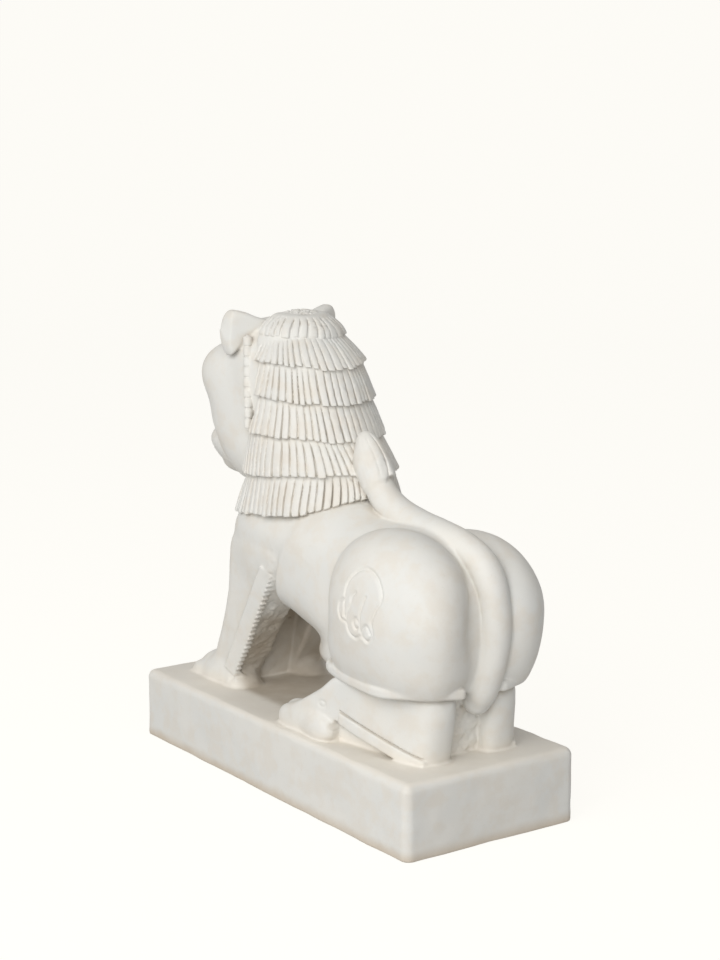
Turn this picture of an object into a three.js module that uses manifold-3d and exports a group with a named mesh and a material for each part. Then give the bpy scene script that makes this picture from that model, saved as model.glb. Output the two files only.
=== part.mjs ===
import * as THREE from 'three';
import { mergeVertices } from 'three/addons/utils/BufferGeometryUtils.js';
import Module from 'manifold-3d';

const wasm = await Module();
wasm.setup();

// Frame in millimetres: the lion looks along -Y, its left side is +X, up is +Z.
// The origin is the middle of the underside of the plinth.

// Plinth
const PLINTH_LENGTH = 660;
const PLINTH_WIDTH = 276;
const PLINTH_HEIGHT = 100;
const PLINTH_CORNER = 14;
const PLINTH_TOP_ROUND = 11;
const PLINTH_FOOT_ROUND = 3;
const BURY = 8;

// Trunk: stations from the chest to the rump, given as y, underside z, top z and half width
const TRUNK_STATIONS = [
  [-186, 285, 352, 34],
  [-170, 258, 385, 68],
  [-140, 240, 400, 86],
  [-100, 232, 405, 94],
  [-55, 228, 405, 96],
  [40, 203, 396, 94],
  [90, 185, 388, 92],
  [195, 184, 380, 86],
  [245, 187, 367, 80],
  [280, 204, 340, 66],
  [300, 230, 304, 38],
];
const TRUNK_POWER = 2.3;
const TRUNK_SIDES = 18;

// Haunches
const HAUNCH_CENTRE = [63, 206, 283];
const HAUNCH_RADII = [68, 118, 93];
const HAUNCH_DROP = 122;
const HAUNCH_CUT_Z = 188;
const HAUNCH_FULLNESS = 0.55;
const KNEE_CENTRE = [64, 146, 228];
const KNEE_RADII = [42, 58, 46];
const HAUNCH_REAR_CENTRE = [40.6, 243.3, 227.4];
const HAUNCH_REAR_RADII = [46, 64, 54];
// The left hip stands higher than the right one
const HIP_CENTRE = [52, 202, 322];
const HIP_RADII = [61.3, 103.4, 66.7];

// Band under the haunches, followed from the knee to the tail
const BAND_PATH = [
  [70, 86, 196],
  [91, 101, 195],
  [101, 140, 193],
  [105, 185, 192],
  [106, 228, 192],
  [99, 252, 194],
  [86, 274, 196],
  [68, 291, 197],
  [46, 300, 196],
  [22, 303, 193],
];
const BAND_THICK = 7;
const BAND_SIDES = 6;

// Hind shanks and feet: stations from toe to heel, given as y, inner x, outer x and top z
const SHANK_STATIONS = [
  [2, 78, 112, 114],
  [16, 72, 117, 122],
  [55, 64, 120, 141],
  [96, 52, 113, 166],
  [130, 44, 106, 190],
  [190, 36, 96, 190],
  [240, 29, 86, 190],
  [274, 26, 76, 190],
  [294, 30, 65, 188],
];
const SHANK_ROUND = 11;
const HIND_TOES = [
  [110, 100, 112, 15, 30, 20],
  [106, 38, 108, 17, 40, 22],
  [90, 28, 108, 16, 38, 23],
];
const STRIP_FROM = [109, 126, 137];
const STRIP_TO = [75, 284, 97.2];
const STRIP_WIDE = 16;
const STRIP_OUT = 4;
const RECESS_STATIONS = [
  [127, 95, 129],
  [234, 77, 103],
];
const RECESS_OUTER = 140;
const REAR_INFILL = [84, 152, 190];
const REAR_INFILL_AT = [0, 196, 100];

// Fore legs and paws: levels given as z, front y and rear y
const FORELEG_LEVELS = [
  [92, -240, -172],
  [121, -232, -168],
  [150, -223, -147],
  [180, -212, -127],
  [241, -187, -86],
  [290, -176, -55],
  [335, -168, -30],
];
const FORELEG_X = 53;
const FORELEG_HALF = 28;
const FORELEG_ROUND = 18;
const PAW_CENTRE = [56, -223, 101];
const PAW_RADII = [31, 65, 39];
const TOE_COUNT = 4;
const TOE_PITCH = 14;
const TOE_Y = -269;
const TOE_RADII = [8.5, 20, 17];
const FORE_WEB_LEVELS = [
  [92, -210, -190],
  [270, -170, -128],
];
const FORE_WEB_HALF = 32;
const FRINGE_TOP = [-53, 290];
const FRINGE_FOOT = [-170, 120];
const FRINGE_TEETH = 19;
const FRINGE_WIDE = 11;
const FRINGE_TOOTH = 4;
const FRINGE_X = 72;
const FRINGE_THICK = 11;

// Tail: middle line as x, y and z from its lower end to the tuft, swung a little to the lion's right
const TAIL_PATH = [
  [-10, 283, 174],
  [-11, 291, 190],
  [-17, 300, 228],
  [-22, 302, 275],
  [-20, 297, 320],
  [-16, 280, 351],
  [-12, 250, 367],
  [-8, 212, 376],
  [-4, 170, 383],
  [-1, 130, 393],
  [0, 100, 406],
  [0, 78, 425],
];
const TAIL_RADIUS = 20.5;
const TAIL_SIDES = 8;
const TUFT_FOOT = [92, 408];
const TUFT_TIP = [44, 491];
const TUFT_RADIUS = 25;
const TUFT_DEEP = 1.15;
const TUFT_STRIPES = 7;
const TUFT_CUT = 2.5;

// Mane: six tiers of straight locks, top to bottom. Each has its hem height at the front and
// at the rear, the y of its middle, its half width, its depth behind and before, and its locks.
const MANE_TIERS = [
  { front: 616, rear: 609, y: -110, wide: 64, back: 60, fore: 62, locks: 26 },
  { front: 581, rear: 570, y: -98, wide: 81, back: 89, fore: 80, locks: 30 },
  { front: 534, rear: 524, y: -92, wide: 88, back: 102, fore: 95, locks: 34 },
  { front: 481, rear: 476, y: -84, wide: 95, back: 113, fore: 108, locks: 38 },
  { front: 419, rear: 435, y: -70, wide: 100, back: 133, fore: 121, locks: 44 },
  { front: 362, rear: 394, y: -62, wide: 105, back: 127, fore: 152, locks: 50 },
];
const TIER_INSET = 11;
const TIER_OVERLAP = 4;
const HEM_Y_FRONT = -130;
const HEM_Y_REAR = 40;
const LOCK_GROOVE = 4.5;
const TOP_TIER_HEIGHT = 24;
const TOP_TIER_SHARE = 0.8;
const FACE_EDGE = [
  [440, -100],
  [680, -134],
];
const WRAPPED_TIERS = 2;
const CAP_CENTRE = [0, -118, 600];
const CAP_RADII = [66, 65, 47];

// Head
const SKULL_CENTRE = [0, -135, 535];
const SKULL_RADII = [82, 115, 104];
const MUZZLE_CENTRE = [0, -232, 441];
const MUZZLE_RADII = [56, 70, 40];
const BRIDGE_CENTRE = [0, -236, 508];
const BRIDGE_RADII = [26, 52, 54];
const NOSE_CENTRE = [0, -289, 470];
const NOSE_RADII = [22, 18, 16];
const CHIN_CENTRE = [0, -258, 412];
const CHIN_RADII = [34, 34, 14];
const CHEEK_CENTRE = [42, -164, 470];
const CHEEK_RADII = [44, 62, 70];
const CHEEKBONE_CENTRE = [40, -205, 505];
const CHEEKBONE_RADII = [38, 46, 52];
const BROW_CENTRE = [46, -228, 556];
const BROW_RADII = [40, 30, 20];
const EYE_CENTRE = [42, -247, 530];
const EYE_RADII = [19, 13, 14];
const LIP_CENTRE = [25, -258, 449];
const LIP_RADII = [30, 32, 23];
const NOSTRIL_CENTRE = [17, -285, 463];
const NOSTRIL_RADII = [13, 14, 11];
const MOUTH_CENTRE = [0, -288, 426];
const MOUTH_RADII = [46, 38, 6];
// Ear levels as z, inner x and outer x; its back leans forwards towards the outer edge
const EAR_LEVELS = [
  [584, 82, 88],
  [596, 62, 94],
  [614, 50, 97],
  [630, 50, 96],
  [639, 56, 93],
  [646, 74, 90],
];
const EAR_BACK_X = 50;
const EAR_BACK_Y = -138;
const EAR_BACK_SLOPE = -0.43;
const EAR_FRONT_Y = -177;
const EAR_RIM = 6;
const BEAD_COUNT = 9;
const BEAD_TOP = [68.5, -140, 612];
const BEAD_FOOT = [88.5, -112, 484];
const BEAD_RADIUS = 6.5;
const BEAD_WAIST = 4.5;
const BEAD_SIDES = 5;

// Material
const MARBLE_COLOUR = 0xe2dfd6;
const MARBLE_ROUGHNESS = 0.62;

// Watertight solid of a geometry, turned right side out
function solid(geometry) {
  const bare = geometry.clone();
  bare.deleteAttribute('normal');
  bare.deleteAttribute('uv');
  const welded = mergeVertices(bare, 1e-4);
  const vertProperties = new Float32Array(welded.attributes.position.array);
  const triVerts = new Uint32Array(welded.index.array);
  const corner = (k) => new THREE.Vector3().fromArray(vertProperties, 3 * triVerts[k]);
  let volume = 0;
  for (let k = 0; k < triVerts.length; k += 3) {
    volume += corner(k).dot(corner(k + 1).cross(corner(k + 2)));
  }
  if (volume < 0) {
    for (let k = 0; k < triVerts.length; k += 3) {
      [triVerts[k], triVerts[k + 1]] = [triVerts[k + 1], triVerts[k]];
    }
  }
  return new wasm.Manifold(new wasm.Mesh({ numProp: 3, vertProperties, triVerts }));
}

// The same geometry on the lion's left and on its right
function pair(geometry) {
  const other = geometry.clone().scale(-1, 1, 1);
  return [solid(geometry), solid(other)];
}

function join(solids) {
  return solids.reduce((whole, next) => whole.add(next));
}

// Skin through rings of equal point count, closed at both ends
function loft(rings) {
  const count = rings[0].length;
  const points = rings.flat();
  const index = [];
  for (let i = 0; i + 1 < rings.length; i += 1) {
    for (let j = 0; j < count; j += 1) {
      const a = i * count + j;
      const b = i * count + ((j + 1) % count);
      index.push(a, b, b + count, a, b + count, a + count);
    }
  }
  const ends = [rings[0], rings[rings.length - 1]];
  ends.forEach((ring, which) => {
    const middle = ring.reduce((sum, p) => sum.add(p), new THREE.Vector3()).divideScalar(count);
    const hub = points.push(middle) - 1;
    const base = which * (rings.length - 1) * count;
    for (let j = 0; j < count; j += 1) {
      const a = base + j;
      const b = base + ((j + 1) % count);
      index.push(...(which ? [hub, a, b] : [hub, b, a]));
    }
  });
  const geometry = new THREE.BufferGeometry();
  geometry.setAttribute('position', new THREE.Float32BufferAttribute(points.flatMap((p) => [...p]), 3));
  geometry.setIndex(index);
  return geometry;
}

function ball(centre, radii, around = 16, down = 10) {
  const geometry = new THREE.SphereGeometry(1, around, down);
  geometry.rotateX(Math.PI / 2);
  geometry.scale(...radii);
  geometry.translate(...centre);
  return geometry;
}

function block(size, foot) {
  const geometry = new THREE.BoxGeometry(...size);
  geometry.translate(foot[0], foot[1], foot[2] + size[2] / 2);
  return geometry;
}

// Rounded rectangle as a ring of points round the origin
function roundedRing(halfU, halfV, round, steps = 3) {
  const ring = [];
  for (let quarter = 0; quarter < 4; quarter += 1) {
    const signU = quarter === 0 || quarter === 3 ? 1 : -1;
    const signV = quarter < 2 ? 1 : -1;
    for (let step = 0; step <= steps; step += 1) {
      const angle = ((quarter + step / steps) * Math.PI) / 2;
      const u = signU * (halfU - round) + round * Math.cos(angle);
      const v = signV * (halfV - round) + round * Math.sin(angle);
      ring.push([u, v]);
    }
  }
  return ring;
}

function smoothPath(points) {
  return new THREE.CatmullRomCurve3(points.map((p) => new THREE.Vector3(...p)));
}

function roundRod(path, radius, sides, steps) {
  const origin = new THREE.Vector2();
  const corner = (k) => new THREE.Vector2(radius, 0).rotateAround(origin, (2 * Math.PI * k) / sides);
  const disc = new THREE.Shape(Array.from({ length: sides }, (_, k) => corner(k)));
  const options = { steps, extrudePath: path, bevelEnabled: false };
  return new THREE.ExtrudeGeometry(disc, options);
}

// Plinth with rounded upright corners and a softened top edge
function plinth() {
  const quarter = [0, 1, 2, 3].map((k) => (k * Math.PI) / 6);
  const foot = [[PLINTH_FOOT_ROUND, 0], [0, PLINTH_FOOT_ROUND]];
  const top = quarter.map((angle) => [
    PLINTH_TOP_ROUND * (1 - Math.cos(angle)),
    PLINTH_HEIGHT - PLINTH_TOP_ROUND * (1 - Math.sin(angle)),
  ]);
  const rings = [...foot, ...top].map(([inset, z]) => {
    const ring = roundedRing(PLINTH_WIDTH / 2 - inset, PLINTH_LENGTH / 2 - inset, PLINTH_CORNER);
    return ring.map(([u, v]) => new THREE.Vector3(u, v, z));
  });
  return solid(loft(rings));
}

function trunk() {
  const rings = TRUNK_STATIONS.map(([y, under, top, half]) => {
    const ring = [];
    for (let k = 0; k < TRUNK_SIDES; k += 1) {
      const angle = (2 * Math.PI * k) / TRUNK_SIDES;
      const across = Math.sign(Math.cos(angle)) * Math.abs(Math.cos(angle)) ** (2 / TRUNK_POWER);
      const upward = Math.sign(Math.sin(angle)) * Math.abs(Math.sin(angle)) ** (2 / TRUNK_POWER);
      ring.push(new THREE.Vector3(half * across, y, (under + top) / 2 + ((top - under) / 2) * upward));
    }
    return ring;
  });
  return solid(loft(rings));
}

// Egg-shaped haunch, drawn out downwards and cut level where it meets the band
function haunch() {
  const [cx, cy, cz] = HAUNCH_CENTRE;
  const [rx, ry, rz] = HAUNCH_RADII;
  const lowest = -Math.asin((cz - HAUNCH_CUT_Z) / HAUNCH_DROP);
  const highest = 0.94 * (Math.PI / 2);
  const levels = 9;
  const sides = 18;
  const rings = [];
  for (let i = 0; i <= levels; i += 1) {
    const tilt = lowest + ((highest - lowest) * i) / levels;
    const reach = Math.cos(tilt) ** (tilt < 0 ? HAUNCH_FULLNESS : 1);
    const ring = [];
    for (let k = 0; k < sides; k += 1) {
      const angle = (2 * Math.PI * k) / sides;
      const x = cx + rx * Math.cos(tilt) * Math.cos(angle);
      const y = cy + ry * reach * Math.sin(angle);
      const z = cz + (tilt < 0 ? HAUNCH_DROP : rz) * Math.sin(tilt);
      ring.push(new THREE.Vector3(x, y, z));
    }
    rings.push(ring);
  }
  return loft(rings);
}

function shank() {
  const floor = PLINTH_HEIGHT - BURY;
  const rings = SHANK_STATIONS.map(([y, inner, outer, top]) => {
    const ring = roundedRing((outer - inner) / 2, (top - floor) / 2, SHANK_ROUND, 2);
    return ring.map(([u, v]) => new THREE.Vector3((inner + outer) / 2 + u, y, (floor + top) / 2 + v));
  });
  return loft(rings);
}

// Room for the sunk wall between the strip and the plinth
function shankRecess() {
  const rings = RECESS_STATIONS.map(([y, inner, top]) => [
    new THREE.Vector3(inner, y, PLINTH_HEIGHT),
    new THREE.Vector3(RECESS_OUTER, y, PLINTH_HEIGHT),
    new THREE.Vector3(RECESS_OUTER, y, top),
    new THREE.Vector3(inner, y, top),
  ]);
  return loft(rings);
}

function hindShanks() {
  const recesses = pair(shankRecess());
  return pair(shank()).map((leg, side) => leg.subtract(recesses[side]));
}

// Raised strip that slants down the outer face of the shank
function shankStrip() {
  const from = new THREE.Vector3(...STRIP_FROM);
  const to = new THREE.Vector3(...STRIP_TO);
  const geometry = new THREE.BoxGeometry(2 * STRIP_OUT, from.distanceTo(to), STRIP_WIDE);
  const along = to.clone().sub(from);
  geometry.rotateX(Math.atan2(along.z, along.y));
  geometry.rotateZ(-Math.atan2(along.x, along.y));
  const middle = from.add(to).multiplyScalar(0.5);
  geometry.translate(middle.x - STRIP_OUT, middle.y, middle.z);
  return geometry;
}

function foreleg() {
  const rings = FORELEG_LEVELS.map(([z, front, rear]) => {
    const ring = roundedRing(FORELEG_HALF, (rear - front) / 2, FORELEG_ROUND, 2);
    return ring.map(([u, v]) => new THREE.Vector3(FORELEG_X + u, (front + rear) / 2 + v, z));
  });
  return loft(rings);
}

function forepaw() {
  const parts = [ball(PAW_CENTRE, PAW_RADII, 10, 6)];
  for (let k = 0; k < TOE_COUNT; k += 1) {
    const offset = k - (TOE_COUNT - 1) / 2;
    const x = PAW_CENTRE[0] + TOE_PITCH * offset;
    parts.push(ball([x, TOE_Y + 1.6 * offset * offset, PAW_CENTRE[2]], TOE_RADII, 6, 4));
  }
  return parts;
}

// Stone left standing between the fore legs
function foreWeb() {
  const rings = FORE_WEB_LEVELS.map(([z, front, rear]) => [
    new THREE.Vector3(-FORE_WEB_HALF, front, z),
    new THREE.Vector3(FORE_WEB_HALF, front, z),
    new THREE.Vector3(FORE_WEB_HALF, rear, z),
    new THREE.Vector3(-FORE_WEB_HALF, rear, z),
  ]);
  return solid(loft(rings));
}

// Saw-toothed fringe down the outer rear edge of the fore leg
function fringe() {
  const foot = new THREE.Vector2(...FRINGE_FOOT);
  const along = new THREE.Vector2(...FRINGE_TOP).sub(foot);
  const length = along.length();
  along.normalize();
  const backward = new THREE.Vector2(along.y, -along.x);
  const place = (run, out) => foot.clone().addScaledVector(along, run).addScaledVector(backward, out);
  const outline = [place(0, -FRINGE_WIDE), place(length, -FRINGE_WIDE)];
  for (let k = FRINGE_TEETH; k >= 0; k -= 1) {
    const run = (length * k) / FRINGE_TEETH;
    outline.push(place(run, 0));
    if (k > 0) {
      outline.push(place(run - (0.75 * length) / FRINGE_TEETH, FRINGE_TOOTH));
    }
  }
  const options = { depth: FRINGE_THICK, bevelEnabled: false };
  const geometry = new THREE.ExtrudeGeometry(new THREE.Shape(outline), options);
  const turn = new THREE.Matrix4().set(0, 0, 1, FRINGE_X, 1, 0, 0, 0, 0, 1, 0, 0, 0, 0, 0, 1);
  return geometry.applyMatrix4(turn);
}

function tail() {
  const path = smoothPath(TAIL_PATH);
  return solid(roundRod(path, TAIL_RADIUS, TAIL_SIDES, 24));
}

// Bud at the end of the tail, scored lengthwise
function tuft() {
  const foot = new THREE.Vector3(0, ...TUFT_FOOT);
  const tip = new THREE.Vector3(0, ...TUFT_TIP);
  const axis = tip.clone().sub(foot).normalize();
  const side = new THREE.Vector3(1, 0, 0);
  const rise = new THREE.Vector3().crossVectors(axis, side);
  const levels = 6;
  const count = 2 * TUFT_STRIPES;
  const rings = [];
  for (let i = 0; i <= levels; i += 1) {
    const run = 0.02 + (0.96 * i) / levels;
    const girth = Math.sqrt(Math.max(0, 1 - ((run - 0.42) / 0.6) ** 2));
    const ring = [];
    for (let k = 0; k < count; k += 1) {
      const angle = (2 * Math.PI * k) / count;
      const radius = girth * (TUFT_RADIUS - (k % 2) * TUFT_CUT);
      const p = foot.clone().lerp(tip, run);
      p.addScaledVector(side, radius * Math.cos(angle));
      p.addScaledVector(rise, TUFT_DEEP * radius * Math.sin(angle));
      ring.push(p);
    }
    rings.push(ring);
  }
  return solid(loft(rings));
}

function hemHeight(tier, y) {
  const share = THREE.MathUtils.clamp((y - HEM_Y_FRONT) / (HEM_Y_REAR - HEM_Y_FRONT), 0, 1);
  return THREE.MathUtils.lerp(tier.front, tier.rear, share);
}

// One tier of the mane: a flared skirt whose locks are ridges with grooves between them
function maneTier(which) {
  const tier = MANE_TIERS[which];
  const above = MANE_TIERS[which - 1];
  const inner = above
    ? {
        y: above.y,
        wide: above.wide - TIER_INSET,
        back: above.back - TIER_INSET,
        fore: above.fore - TIER_INSET,
      }
    : {
        y: tier.y,
        wide: TOP_TIER_SHARE * tier.wide,
        back: TOP_TIER_SHARE * tier.back,
        fore: TOP_TIER_SHARE * tier.fore,
      };
  const rings = [0, 1].map((share) => {
    const wide = THREE.MathUtils.lerp(inner.wide, tier.wide, share);
    const back = THREE.MathUtils.lerp(inner.back, tier.back, share);
    const fore = THREE.MathUtils.lerp(inner.fore, tier.fore, share);
    const middle = THREE.MathUtils.lerp(inner.y, tier.y, share);
    const ring = [];
    for (let lock = 0; lock < tier.locks; lock += 1) {
      [0, 0.5].forEach((across) => {
        const angle = (2 * Math.PI * (lock + across)) / tier.locks;
        const cut = across ? LOCK_GROOVE * share : 0;
        const depth = Math.sin(angle) > 0 ? back : fore;
        const x = (wide - cut) * Math.cos(angle);
        const y = middle + (depth - cut) * Math.sin(angle);
        const hem = hemHeight(tier, y);
        const head = above ? hemHeight(above, y) + TIER_OVERLAP : hem + TOP_TIER_HEIGHT;
        ring.push(new THREE.Vector3(x, y, THREE.MathUtils.lerp(head, hem, share)));
      });
    }
    return ring;
  });
  return solid(loft(rings));
}

// All the space behind the slanted front edge of the hood
function behindFace() {
  const rings = FACE_EDGE.map(([z, front]) => [
    new THREE.Vector3(-200, front, z),
    new THREE.Vector3(200, front, z),
    new THREE.Vector3(200, 200, z),
    new THREE.Vector3(-200, 200, z),
  ]);
  return solid(loft(rings));
}

function mane() {
  const tiers = MANE_TIERS.map((tier, which) => maneTier(which));
  const wrapped = tiers.slice(MANE_TIERS.length - WRAPPED_TIERS);
  const upper = tiers.slice(0, MANE_TIERS.length - WRAPPED_TIERS);
  const hood = join([...upper, solid(ball(CAP_CENTRE, CAP_RADII, 10, 5))]);
  return join([hood.intersect(behindFace()), ...wrapped]);
}

// Ringed column along the front edge of the mane
function beadColumn() {
  const top = new THREE.Vector3(...BEAD_TOP);
  const foot = new THREE.Vector3(...BEAD_FOOT);
  const along = top.clone().sub(foot);
  const tall = along.length();
  const profile = [new THREE.Vector2(0, 0)];
  for (let k = 0; k <= 2 * BEAD_COUNT; k += 1) {
    profile.push(new THREE.Vector2(k % 2 ? BEAD_RADIUS : BEAD_WAIST, (tall * k) / (2 * BEAD_COUNT)));
  }
  profile.push(new THREE.Vector2(0, tall));
  const geometry = new THREE.LatheGeometry(profile, BEAD_SIDES);
  const lean = new THREE.Quaternion().setFromUnitVectors(new THREE.Vector3(0, 1, 0), along.normalize());
  geometry.applyQuaternion(lean);
  return geometry.translate(...foot);
}

function ear() {
  const backOf = (x) => EAR_BACK_Y + EAR_BACK_SLOPE * (x - EAR_BACK_X);
  const rings = EAR_LEVELS.map(([z, inner, outer]) => [
    new THREE.Vector3(inner, backOf(inner), z),
    new THREE.Vector3(inner, EAR_FRONT_Y, z),
    new THREE.Vector3(outer - EAR_RIM, EAR_FRONT_Y, z),
    new THREE.Vector3(outer, EAR_FRONT_Y + EAR_RIM, z),
    new THREE.Vector3(outer - EAR_RIM, backOf(outer - EAR_RIM), z),
  ]);
  return loft(rings);
}

function head() {
  const masses = [
    solid(ball(SKULL_CENTRE, SKULL_RADII, 14, 9)),
    solid(ball(MUZZLE_CENTRE, MUZZLE_RADII, 12, 7)),
    solid(ball(BRIDGE_CENTRE, BRIDGE_RADII, 10, 6)),
    solid(ball(NOSE_CENTRE, NOSE_RADII, 8, 6)),
    solid(ball(CHIN_CENTRE, CHIN_RADII, 8, 5)),
    ...pair(ball(CHEEK_CENTRE, CHEEK_RADII, 10, 7)),
    ...pair(ball(CHEEKBONE_CENTRE, CHEEKBONE_RADII, 9, 6)),
    ...pair(ball(BROW_CENTRE, BROW_RADII, 9, 5)),
    ...pair(ball(EYE_CENTRE, EYE_RADII, 8, 4)),
    ...pair(ball(LIP_CENTRE, LIP_RADII, 9, 5)),
    ...pair(ball(NOSTRIL_CENTRE, NOSTRIL_RADII, 6, 4)),
    ...pair(ear()),
  ];
  return join(masses).subtract(solid(ball(MOUTH_CENTRE, MOUTH_RADII, 10, 4)));
}

// Facets closer together than this are welded into one, in mm.
const WELD = 0.02;

function statue() {
  return join([
    plinth(),
    trunk(),
    ...pair(haunch()),
    ...pair(ball(KNEE_CENTRE, KNEE_RADII, 10, 6)),
    ...pair(ball(HAUNCH_REAR_CENTRE, HAUNCH_REAR_RADII, 10, 6)),
    solid(ball(HIP_CENTRE, HIP_RADII, 16, 10)),
    ...pair(roundRod(smoothPath(BAND_PATH), BAND_THICK, BAND_SIDES, 12)),
    ...hindShanks(),
    ...HIND_TOES.flatMap(([x, y, z, ...radii]) => pair(ball([x, y, z], radii, 6, 4))),
    ...pair(shankStrip()),
    solid(block(REAR_INFILL, REAR_INFILL_AT)),
    ...pair(foreleg()),
    ...forepaw().flatMap(pair),
    ...pair(fringe()),
    foreWeb(),
    tail(),
    head(),
    mane(),
    ...pair(beadColumn()),
    tuft(),
  ]).simplify(WELD);
}

function meshOf(whole, name, material) {
  const { vertProperties, triVerts } = whole.getMesh();
  const geometry = new THREE.BufferGeometry();
  geometry.setAttribute('position', new THREE.BufferAttribute(new Float32Array(vertProperties), 3));
  geometry.setIndex(new THREE.BufferAttribute(new Uint32Array(triVerts), 1));
  geometry.computeVertexNormals();
  const mesh = new THREE.Mesh(geometry, material);
  mesh.name = name;
  return mesh;
}

const marble = new THREE.MeshStandardMaterial({
  name: 'white_marble',
  color: MARBLE_COLOUR,
  roughness: MARBLE_ROUGHNESS,
  metalness: 0,
});

const part = new THREE.Group();
part.name = 'stone_shardul_statue';
part.add(meshOf(statue(), 'shardul_statue', marble));

export default part;
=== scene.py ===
"""A white marble shardul, a lion crouching on its plinth, carved from one block.

The stone is worked out as a distance field: each carved form gives a distance in millimetres, below
zero inside the stone, and the forms are joined and cut with soft minimums, as a chisel leaves them.
Two closed meshes that overlap at the neck are drawn where the distance is zero.
"""

import math
from concurrent.futures import ThreadPoolExecutor

import bpy
import numpy as np
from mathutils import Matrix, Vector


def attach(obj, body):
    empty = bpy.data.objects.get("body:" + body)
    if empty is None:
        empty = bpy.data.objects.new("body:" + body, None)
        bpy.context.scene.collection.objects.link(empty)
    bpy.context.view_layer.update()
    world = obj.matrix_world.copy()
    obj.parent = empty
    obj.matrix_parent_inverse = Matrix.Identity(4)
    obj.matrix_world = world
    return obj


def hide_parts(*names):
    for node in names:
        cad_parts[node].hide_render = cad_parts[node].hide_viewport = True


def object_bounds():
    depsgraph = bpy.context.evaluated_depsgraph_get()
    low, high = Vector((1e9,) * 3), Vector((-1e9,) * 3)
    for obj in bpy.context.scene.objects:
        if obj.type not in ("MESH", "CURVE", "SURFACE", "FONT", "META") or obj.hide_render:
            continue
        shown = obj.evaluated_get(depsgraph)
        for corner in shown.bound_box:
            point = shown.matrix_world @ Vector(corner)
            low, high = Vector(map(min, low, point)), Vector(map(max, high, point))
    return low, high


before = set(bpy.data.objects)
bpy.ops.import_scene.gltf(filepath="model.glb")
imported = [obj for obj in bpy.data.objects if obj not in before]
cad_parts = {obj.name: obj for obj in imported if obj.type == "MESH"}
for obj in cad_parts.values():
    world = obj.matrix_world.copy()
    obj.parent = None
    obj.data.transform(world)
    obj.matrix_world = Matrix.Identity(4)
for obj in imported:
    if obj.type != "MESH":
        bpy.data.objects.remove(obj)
CAD_LOW, CAD_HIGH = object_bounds()

bl_info = {
    "name": "Stone shardul statue",
    "version": (1, 0, 0),
    "blender": (4, 5, 0),
    "location": "View3D > Sidebar > Shardul",
    "description": "Carves a marble lion on its plinth and sets it on a pale studio floor",
    "category": "Object",
}

# The carved forms are in millimetres and the scene is in metres
MM = 0.001
CAD_NODE = "shardul_statue"
CARVED_MARBLE = "carved_marble"
FAR = np.float32(1000)
REACH = 34

PLINTH_WIDTH = (CAD_HIGH.x - CAD_LOW.x) / MM
PLINTH_LENGTH = (CAD_HIGH.y - CAD_LOW.y) / MM
PLINTH_HEIGHT = 100
PLINTH_CORNER = 13
PLINTH_EDGE = 10
PLINTH_FOOT_EDGE = 2.5
PLINTH_SHRINK = 0.9
# Noise layers here and below as height, pitch and shift
PLINTH_WAVES = ((0.8, 60, 0.0), (0.3, 16, 0.4))
PLINTH_WEAR = ((3.5, 38, 0.7),)
SKIN_WAVES = ((0.5, 34, 0.9), (0.12, 7, 0.3))

# Trunk stations as y, underside z, back z and half width
TRUNK = (
    (-186, 285, 352, 34),
    (-170, 258, 385, 68),
    (-140, 240, 400, 86),
    (-100, 232, 405, 94),
    (-55, 228, 405, 95),
    (-20, 221, 402, 95),
    (40, 203, 396, 94),
    (90, 185, 388, 92),
    (195, 184, 380, 86),
    (245, 187, 367, 80),
    (280, 204, 340, 66),
    (300, 230, 304, 38),
)
TRUNK_POWER = 2.45
TRUNK_ENDS = (-165, 262)
TRUNK_END_BLEND = 30
TRUNK_PROUD = 1.5
# Ellipsoids here and below as centre and half sizes
CHEST = ((0, -88, 328), (96, 108, 98))
SHOULDER = ((0, 10, 318), (93, 120, 88))
RUMP = ((0, 186, 284), (86, 112, 98))
# Elbow line as z and y: the flank stands proud behind it
ELBOW_LINE = ((235, -60), (250, -55), (270, -44), (292, -34), (310, -26), (330, -13), (352, 4), (372, 10))
ELBOW_FADE = (288, 352)
ELBOW_STEP = 26

HAUNCH = ((63, 206, 283), (68, 118, 93))
# The left hip stands higher than the right one
HIP = ((52, 202, 322), (62, 104, 67))
HAUNCH_REAR = ((40, 244, 228), (46, 64, 54))
REAR_FILL = ((0, 255, 245), (46, 48, 88))
HAUNCH_DROP = 122
HAUNCH_FOOT = 188
HAUNCH_FILL = 0.45
KNEE = ((64, 146, 228), (42, 58, 46))
KNEE_WEB = ((50, 112, 197), (32, 90, 25))
LEAST_WAIST = 0.09
# Moulded band as x, y and z
BAND = (
    (66, 84, 196),
    (91, 100, 195),
    (101, 140, 193),
    (105, 185, 192),
    (106, 228, 192),
    (99, 252, 194),
    (86, 274, 196),
    (68, 291, 197),
    (50, 299, 196),
    (35, 303, 195),
)
BAND_HALF = (7.5, 7.4)
BAND_ROUND = 5

# Hind foot stations as y, inner x, outer x and top z
SHANK = (
    (2, 78, 112, 110),
    (16, 72, 117, 122),
    (55, 64, 120, 141),
    (96, 52, 113, 166),
    (130, 44, 106, 190),
    (190, 36, 97, 190),
    (240, 29, 87, 190),
    (274, 26, 77, 190),
    (296, 30, 66, 188),
)
SHANK_ROUND = 13
SHANK_ENDS = (4, 296)
SHANK_BURIED = 30
# Scale of the distance to sloping sides, as for the foreleg below
SHANK_SLOPE = 0.9
HEEL_TAPER = 0.2
HEEL_TAPER_TOP = 160
# Sunk wedge and strip of the hind foot: lines of y and z, and the wedge's wall as y and x
RECESS_Y = (127, 264)
RECESS_TOP = ((127, 129), (262, 96))
RECESS_WALL = ((127, 97), (247, 76))
STRIP_LINE = ((137, 134), (286, 98))
STRIP_HALF = (6, 8)
STRIP_PROUD = 2.4
STRIP_ROUND = 2
STRIP_END = 3
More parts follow.
